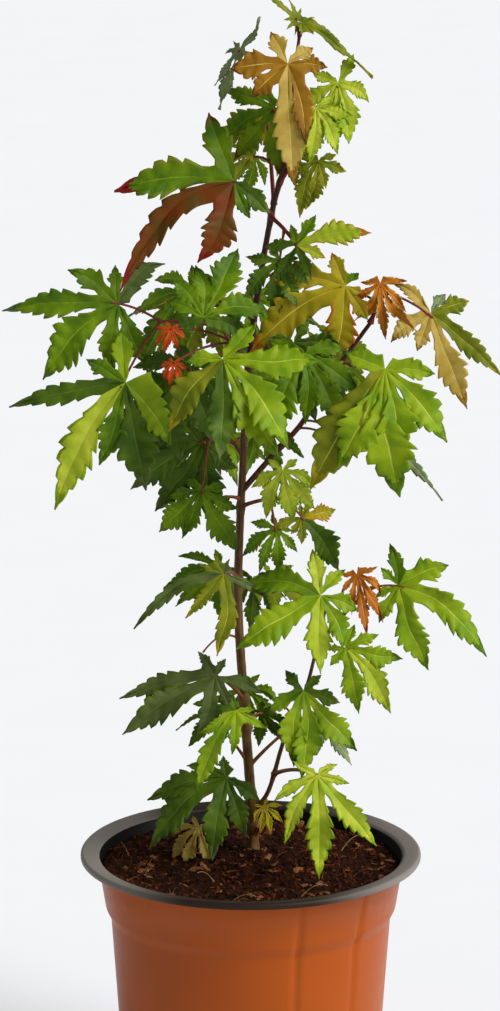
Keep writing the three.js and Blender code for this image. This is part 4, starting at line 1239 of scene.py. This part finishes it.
def stalk_piece(name, lines, finish):
    """lines: one for each stem or petiole, as its curve, foot and tip thickness in mm."""
    points, edges, widths = [], [], []
    for along, foot, tip in lines:
        steps = max(FEWEST_STEPS, round(along.length / STALK_STEP))
        for i, share in enumerate(np.linspace(0, 1, steps + 1)):
            if i:
                edges.append((len(points) - 1, len(points)))
            points.append(along(share))
            far = share * along.length
            near_blade = (1 - share) * along.length
            swell = hump(far, *FOOT_SWELLING) + hump(near_blade, *BLADE_SWELLING)
            widths.append((foot + (tip - foot) * share) * (1 + swell) * MM)
    mesh = bpy.data.meshes.new(name)
    mesh.from_pydata((np.array(points) * MM).tolist(), edges, [])
    stored = mesh.attributes.new("thickness", "FLOAT", "POINT")
    stored.data.foreach_set("value", widths)
    piece = bpy.data.objects.new(name, mesh)
    bpy.context.scene.collection.objects.link(piece)
    grow(piece, tubes, {"Sides": STALK_SIDES, "Finish": finish})
    piece.data.polygons.foreach_set("use_smooth", [True] * len(piece.data.polygons))
    return piece


# %% Where a limb is at a height
HALVINGS = 40


def limb_place(name, height):
    """The share of the limb is halved towards the height, because every limb only rises."""
    low, high = 0.0, 1.0
    for _ in range(HALVINGS):
        middle = (low + high) / 2
        if limb_curves[name](middle)[2] < height:
            low = middle
        else:
            high = middle
    return limb_curves[name](low)


print("the trunk at 200 mm is at:", limb_place("trunk", 200).round(1))


# %% Leaves of the sprays at the back
def grown_rows(stem, facing, leaf_size, tints, pick):
    rows = []
    for place, side in ((0.45, -1), (0.45, 1), (1, 0)):
        size = leaf_size * pick(0.85, 1.1)
        heading = math.radians(facing - 90 + side * GROWTH["spread"] + pick(-8, 8))
        length = GROWTH["petiole"] * size * (1 if side else 0.4)
        x, y, z = stem(place) + length * np.array([math.cos(heading), math.sin(heading), 0.0])
        z += length * pick(0.1, 0.5)
        turn = -90 + side * GROWTH["turn"] + pick(-GROWTH["turn_jitter"], GROWTH["turn_jitter"])
        lean = pick(*GROWTH["lean"])
        roll = pick(GROWTH["roll_low"], GROWTH["lean"][1]) if side else 0
        rows.append((place, x, y, z, size, turn, lean, roll, 1, tints[len(rows)], None))
    return rows


# %% Blades with a thickness
def blade_piece(name, blades):
    numbers = [SKIN_NUMBERS[finish] for finish in blades.finishes]
    sheet = make_mesh(name + "_blades", blades.points, blades.faces, SKINS.values(), numbers)
    thick = sheet.vertex_groups.new(name="thickness")
    largest = max(size for _, _, size in blades.leaves)
    for first, last, size in blades.leaves:
        thick.add(list(range(first, last)), size / largest, "REPLACE")
    solid = sheet.modifiers.new("thickness", "SOLIDIFY")
    solid.thickness = max(LEAF["thinnest"], LEAF["thickness"] * largest) * MM
    solid.offset = 0.0
    solid.vertex_group = "thickness"
    apply_modifiers(sheet)
    return sheet


# %% [markdown]
# ## Leaves that differ from the rule
# No two leaves on a plant are alike, and a rule alone looks too even. Under the name of a spray
# and the number of its row, a leaf can get lobes with tints of their own, a width, more or less
# crumple for a withered or a fresh blade, a sickle for a single lobe, or a lobe shifted by a few
# degrees. Lobes count from 0, and the middle one is 3.

# %% Table of changes
CHANGES = {
    "crown_top_spray": {2: {"crumple": 0.5, "width": 1.45,
                            "lobes": {1: "umber", 2: "umber", 4: "umber", 5: "umber"}},
                        3: {"crumple": 1.4}},
    "red_tip_leaf": {0: {"sickles": {2: 0.02, 3: 0.3}, "shifts": {3: -14},
                         "lobes": {0: "olive", 1: "olive_tip", 3: "maroon", 4: "maroon",
                                   5: "green", 6: "deep"}}},
    "upper_right_leaf": {0: {"crumple": 0.5, "sickles": {3: 0.05},
                             "lobes": {0: "deep", 1: "deep", 4: "green", 5: "green", 6: "deep"}}},
    "bronze_spray": {0: {"lobes": {0: "green", 4: "amber", 5: "amber"}}, 1: {"crumple": 2.2},
                     2: {"width": 1.35, "lobes": {4: "olive", 5: "olive", 6: "grey"}}},
    "front_centre_spray": {0: {"lobes": {0: "deep", 6: "deep"}},
                           1: {"lobes": {1: "olive", 2: "deep"}}},
    "high_left_spray": {0: {"width": 1.2, "sickles": {3: -0.12}, "shifts": {3: 8},
                            "lobes": {0: "dusk", 4: "green"}},
                        1: {"crumple": 0.5, "width": 1.25,
                            "lobes": {1: "green", 2: "deep", 3: "lime", 4: "green", 5: "deep"}}},
    "right_green_spray": {0: {"width": 1.35, "lobes": {1: "olive"}}},
    "mid_right_spray": {1: {"lobes": {3: "deep", 4: "amber"}}},
    "low_right_spray": {0: {"width": 1.3, "lobes": {1: "lime", 2: "green", 4: "lime"}},
                        1: {"width": 1.25, "lobes": {3: "lime"}}},
    "outer_right_spray": {0: {"crumple": 1.6}, 1: {"lobes": {5: "green"}}},
    "low_left_leaf": {0: {"lobes": {0: "dusk", 3: "dusk", 6: "dusk"}}},
    "dark_front_leaf": {0: {"lobes": {0: "deep", 1: "deep"}}},
    "low_centre_spray": {0: {"width": 1.25,
                             "lobes": {0: "deep", 1: "green", 5: "deep", 6: "deep"}}},
}
print("leaves that differ:", sum(len(changed) for changed in CHANGES.values()))

# %% Building the sprays
SHAPE_SEEDS = 500


def build_spray(name, limb, height, tip, seed, slot, facing, rows=None, grown=None):
    """rows come from the table. Without them, grown gives a leaf size and tints to grow some.

    The curls of a leaf have random numbers of their own, so its angles stay those of the solid.
    """
    pick, shape_pick = seeded(seed), seeded(seed + SHAPE_SEEDS)
    stem = evenly(arched(limb_place(limb, height), tip, STEM["arch"]))
    rows = rows or grown_rows(stem, facing, *grown, pick)
    changes = CHANGES.get(name, {})
    blades, lines = BladeMaker(), [(stem, STEM["foot"], STEM["tip"])]
    for number, (place, x, y, z, size, turn, lean, roll, width, tint, lobes) in enumerate(rows):
        extra = changes.get(number, {})
        leaf = {"at": (x, y, z), "size": size, "turn": turn, "lean": lean, "roll": roll,
                "facing": facing, "width": width, **extra}
        shape = []
        shifts = extra.get("shifts", {})
        for lobe, (angle, share, *own_width) in enumerate(lobes or LOBES):
            bent = angle + shifts.get(lobe, 0) + pick(-LEAF["angle_jitter"], LEAF["angle_jitter"])
            length = share * (1 + pick(-LEAF["length_jitter"], LEAF["length_jitter"]))
            shape.append((bent, length, *(own_width or [1])))
        lobe_tints = extra.get("lobes", {})
        blades.add_leaf(leaf, shape, lambda lobe: TINTS[lobe_tints.get(lobe, tint)], shape_pick)
        along, _, _ = leaf_axes(turn, lean, roll, facing)
        foot = stem(min(place, PETIOLE["top"]))
        end = np.array([x, y, z]) + along * PETIOLE["sink"] * size
        if np.linalg.norm(end - foot) > PETIOLE["shortest"]:
            petiole = evenly(arched(foot, end, PETIOLE["arch"]))
            lines.append((petiole, PETIOLE["radius"], PETIOLE["radius"] * PETIOLE["taper"]))
    finish_piece(blade_piece(name, blades), slot, name)
    finish_piece(stalk_piece(name + "_stalks", lines, red_petiole), "bough_bark", name)


for name, (limb, height, tip, seed, slot, rows) in SPRAYS.items():
    build_spray(name, limb, height, tip, seed, slot, 0, rows)
for name, (limb, height, tip, seed, facing, size, tints) in BACK_SPRAYS.items():
    build_spray(name, limb, height, tip, seed, "green_leaf", facing, grown=(size, tints))

# %% [markdown]
# ## Small things that were left behind
# A tree in a pot sheds. Short stubs of old twigs and petioles stand on the limbs, dry fibres
# stick out of the compost, and one leaf has dropped to the foot of the trunk. They are made by
# the same rules as the rest. Each stub starts in the middle of its limb, so it can't float.

# %% Stubs, fibres and a fallen leaf
# Limb, height, end, arch, and half the thickness at the foot and at the end.
STUBS = [
    ("trunk", 147, (11.5, 13, 159), 0.05, 0.8, 0.55),
    ("trunk", 148, (-8.5, 6, 161), 0.05, 0.75, 0.4),
    ("trunk", 117, (7.5, 5, 129), 0.15, 0.8, 0.5),
    ("trunk", 116, (-7, 5, 125), 0.2, 0.7, 0.45),
    ("trunk", 119, (3, 0, 127), 0.1, 0.7, 0.5),
    ("trunk", 198, (-18, 2, 195), 0.45, 0.5, 0.3),
    ("trunk", 253, (-9.5, 4, 255), 0.1, 0.8, 0.5),
    ("right_bough", 281, (30, -10, 281), 0.12, 0.5, 0.35),
    ("right_bough", 284, (28, -8, 285), 0.08, 0.5, 0.35),
    ("low_bough", 168, (12, -3, 176), 0.1, 0.5, 0.35),
]
stub_lines = [(evenly(arched(limb_place(limb, height), end, arch)), foot, tip)
              for limb, height, end, arch, foot, tip in STUBS]
finish_piece(stalk_piece("old_stubs", stub_lines, red_petiole), "bough_bark")

FIBRE = {"foot": 0.22, "tip": 0.12}
# Start, end and arch of each fibre.
FIBRES = [
    ((-40, -12, 111), (-36, -20, 121), 0.3), ((-30, -34, 110), (-24, -40, 116), 0.5),
    ((18, -38, 110), (29, -36, 115), 0.4), ((38, -14, 110), (46, -20, 116), 0.3),
    ((-8, -44, 110), (2, -46, 114), 0.4), ((34, 16, 110), (42, 20, 117), 0.3),
    ((-46, 8, 110), (-50, 14, 116), 0.3), ((-14, -22, 112), (-20, -30, 118), 0.3),
]
fibre_lines = [(evenly(arched(*ends_and_arch)), FIBRE["foot"], FIBRE["tip"])
               for ends_and_arch in FIBRES]
finish_piece(stalk_piece("dry_fibres", fibre_lines, dry_fibre), "compost")

fallen = BladeMaker()
fallen_leaf = {"at": (-20, 8, 124), "size": 18, "turn": -118, "lean": 35, "roll": 30,
               "facing": 0, "width": 0.9, "crumple": 1.3}
fallen.add_leaf(fallen_leaf, [(angle, share, 1) for angle, share in LOBES],
                lambda lobe: TINTS["tan"], seeded(61))
finish_piece(blade_piece("fallen_leaf", fallen), "light_leaf")

# %% [markdown]
# ## Floor, light and camera
# A pale matt floor and an even white sky give soft studio light without hard shadows. One
# large lamp from the right gives the pot a lighter side. The camera stands 1.6 m away and looks
# a little down, with a long lens, so the plant isn't distorted.

# %% Stage and camera
floor_finish, tree, place = new_material("matt_white_studio_floor")
dust = add(tree, "ShaderNodeTexNoise", {"Vector": place, "Scale": per_metre(60)})
tone = add(tree, "ShaderNodeMix", {
    MIX_SHARE: dust.outputs["Fac"], MIX_FIRST: linear("#F1F2F4"), MIX_SECOND: linear("#EEEFF1"),
}, data_type="RGBA")
shader = add(tree, "ShaderNodeBsdfPrincipled", {
    "Base Color": tone.outputs[MIX_RESULT], "Roughness": 0.9, "Specular IOR Level": 0.1,
})
add(tree, "ShaderNodeOutputMaterial", {"Surface": shader.outputs["BSDF"]})

FLOOR_REACH, FLOOR_GAP = 40000, 0.2
floor_points = [(x * FLOOR_REACH, y * FLOOR_REACH, -FLOOR_GAP)
                for x, y in ((-1, -1), (1, -1), (1, 1), (-1, 1))]
floor = make_mesh("studio_floor", floor_points, [(0, 1, 2, 3)], [floor_finish])

SKY_STRENGTH, SUN_STRENGTH, SUN_WIDTH = 0.3, 4.2, 45
SUN_STANDS = (0.80, -0.42, 0.62)
world = bpy.data.worlds.new("white_sky")
bpy.context.scene.world = world
world.use_nodes = True
sky = world.node_tree.nodes["Background"]
sky.inputs["Color"].default_value = linear("#FFFFFF")
sky.inputs["Strength"].default_value = SKY_STRENGTH

# A lamp as wide as a window, far away, so that the floor is lit evenly.
sun = bpy.data.objects.new("window_light", bpy.data.lights.new("window_light", "SUN"))
sun.data.energy, sun.data.angle = SUN_STRENGTH, math.radians(SUN_WIDTH)
sun.rotation_euler = Vector(SUN_STANDS).to_track_quat("Z", "Y").to_euler()
bpy.context.scene.collection.objects.link(sun)

LENS, SENSOR, LOOKS_DOWN = 157.9, 36, 13.47
CAMERA_STANDS = (-0.0002, -1.617, 0.640)
lens = bpy.data.cameras.new("camera")
lens.lens, lens.sensor_width = LENS, SENSOR
camera = bpy.data.objects.new("camera", lens)
camera.location = CAMERA_STANDS
camera.rotation_euler = (math.radians(90 - LOOKS_DOWN), 0, 0)
bpy.context.scene.collection.objects.link(camera)
bpy.context.scene.camera = camera
bpy.context.scene.view_settings.view_transform = "Standard"
print("camera to trunk in mm:", round(-CAMERA_STANDS[1] / MM), "lens in mm:", LENS)
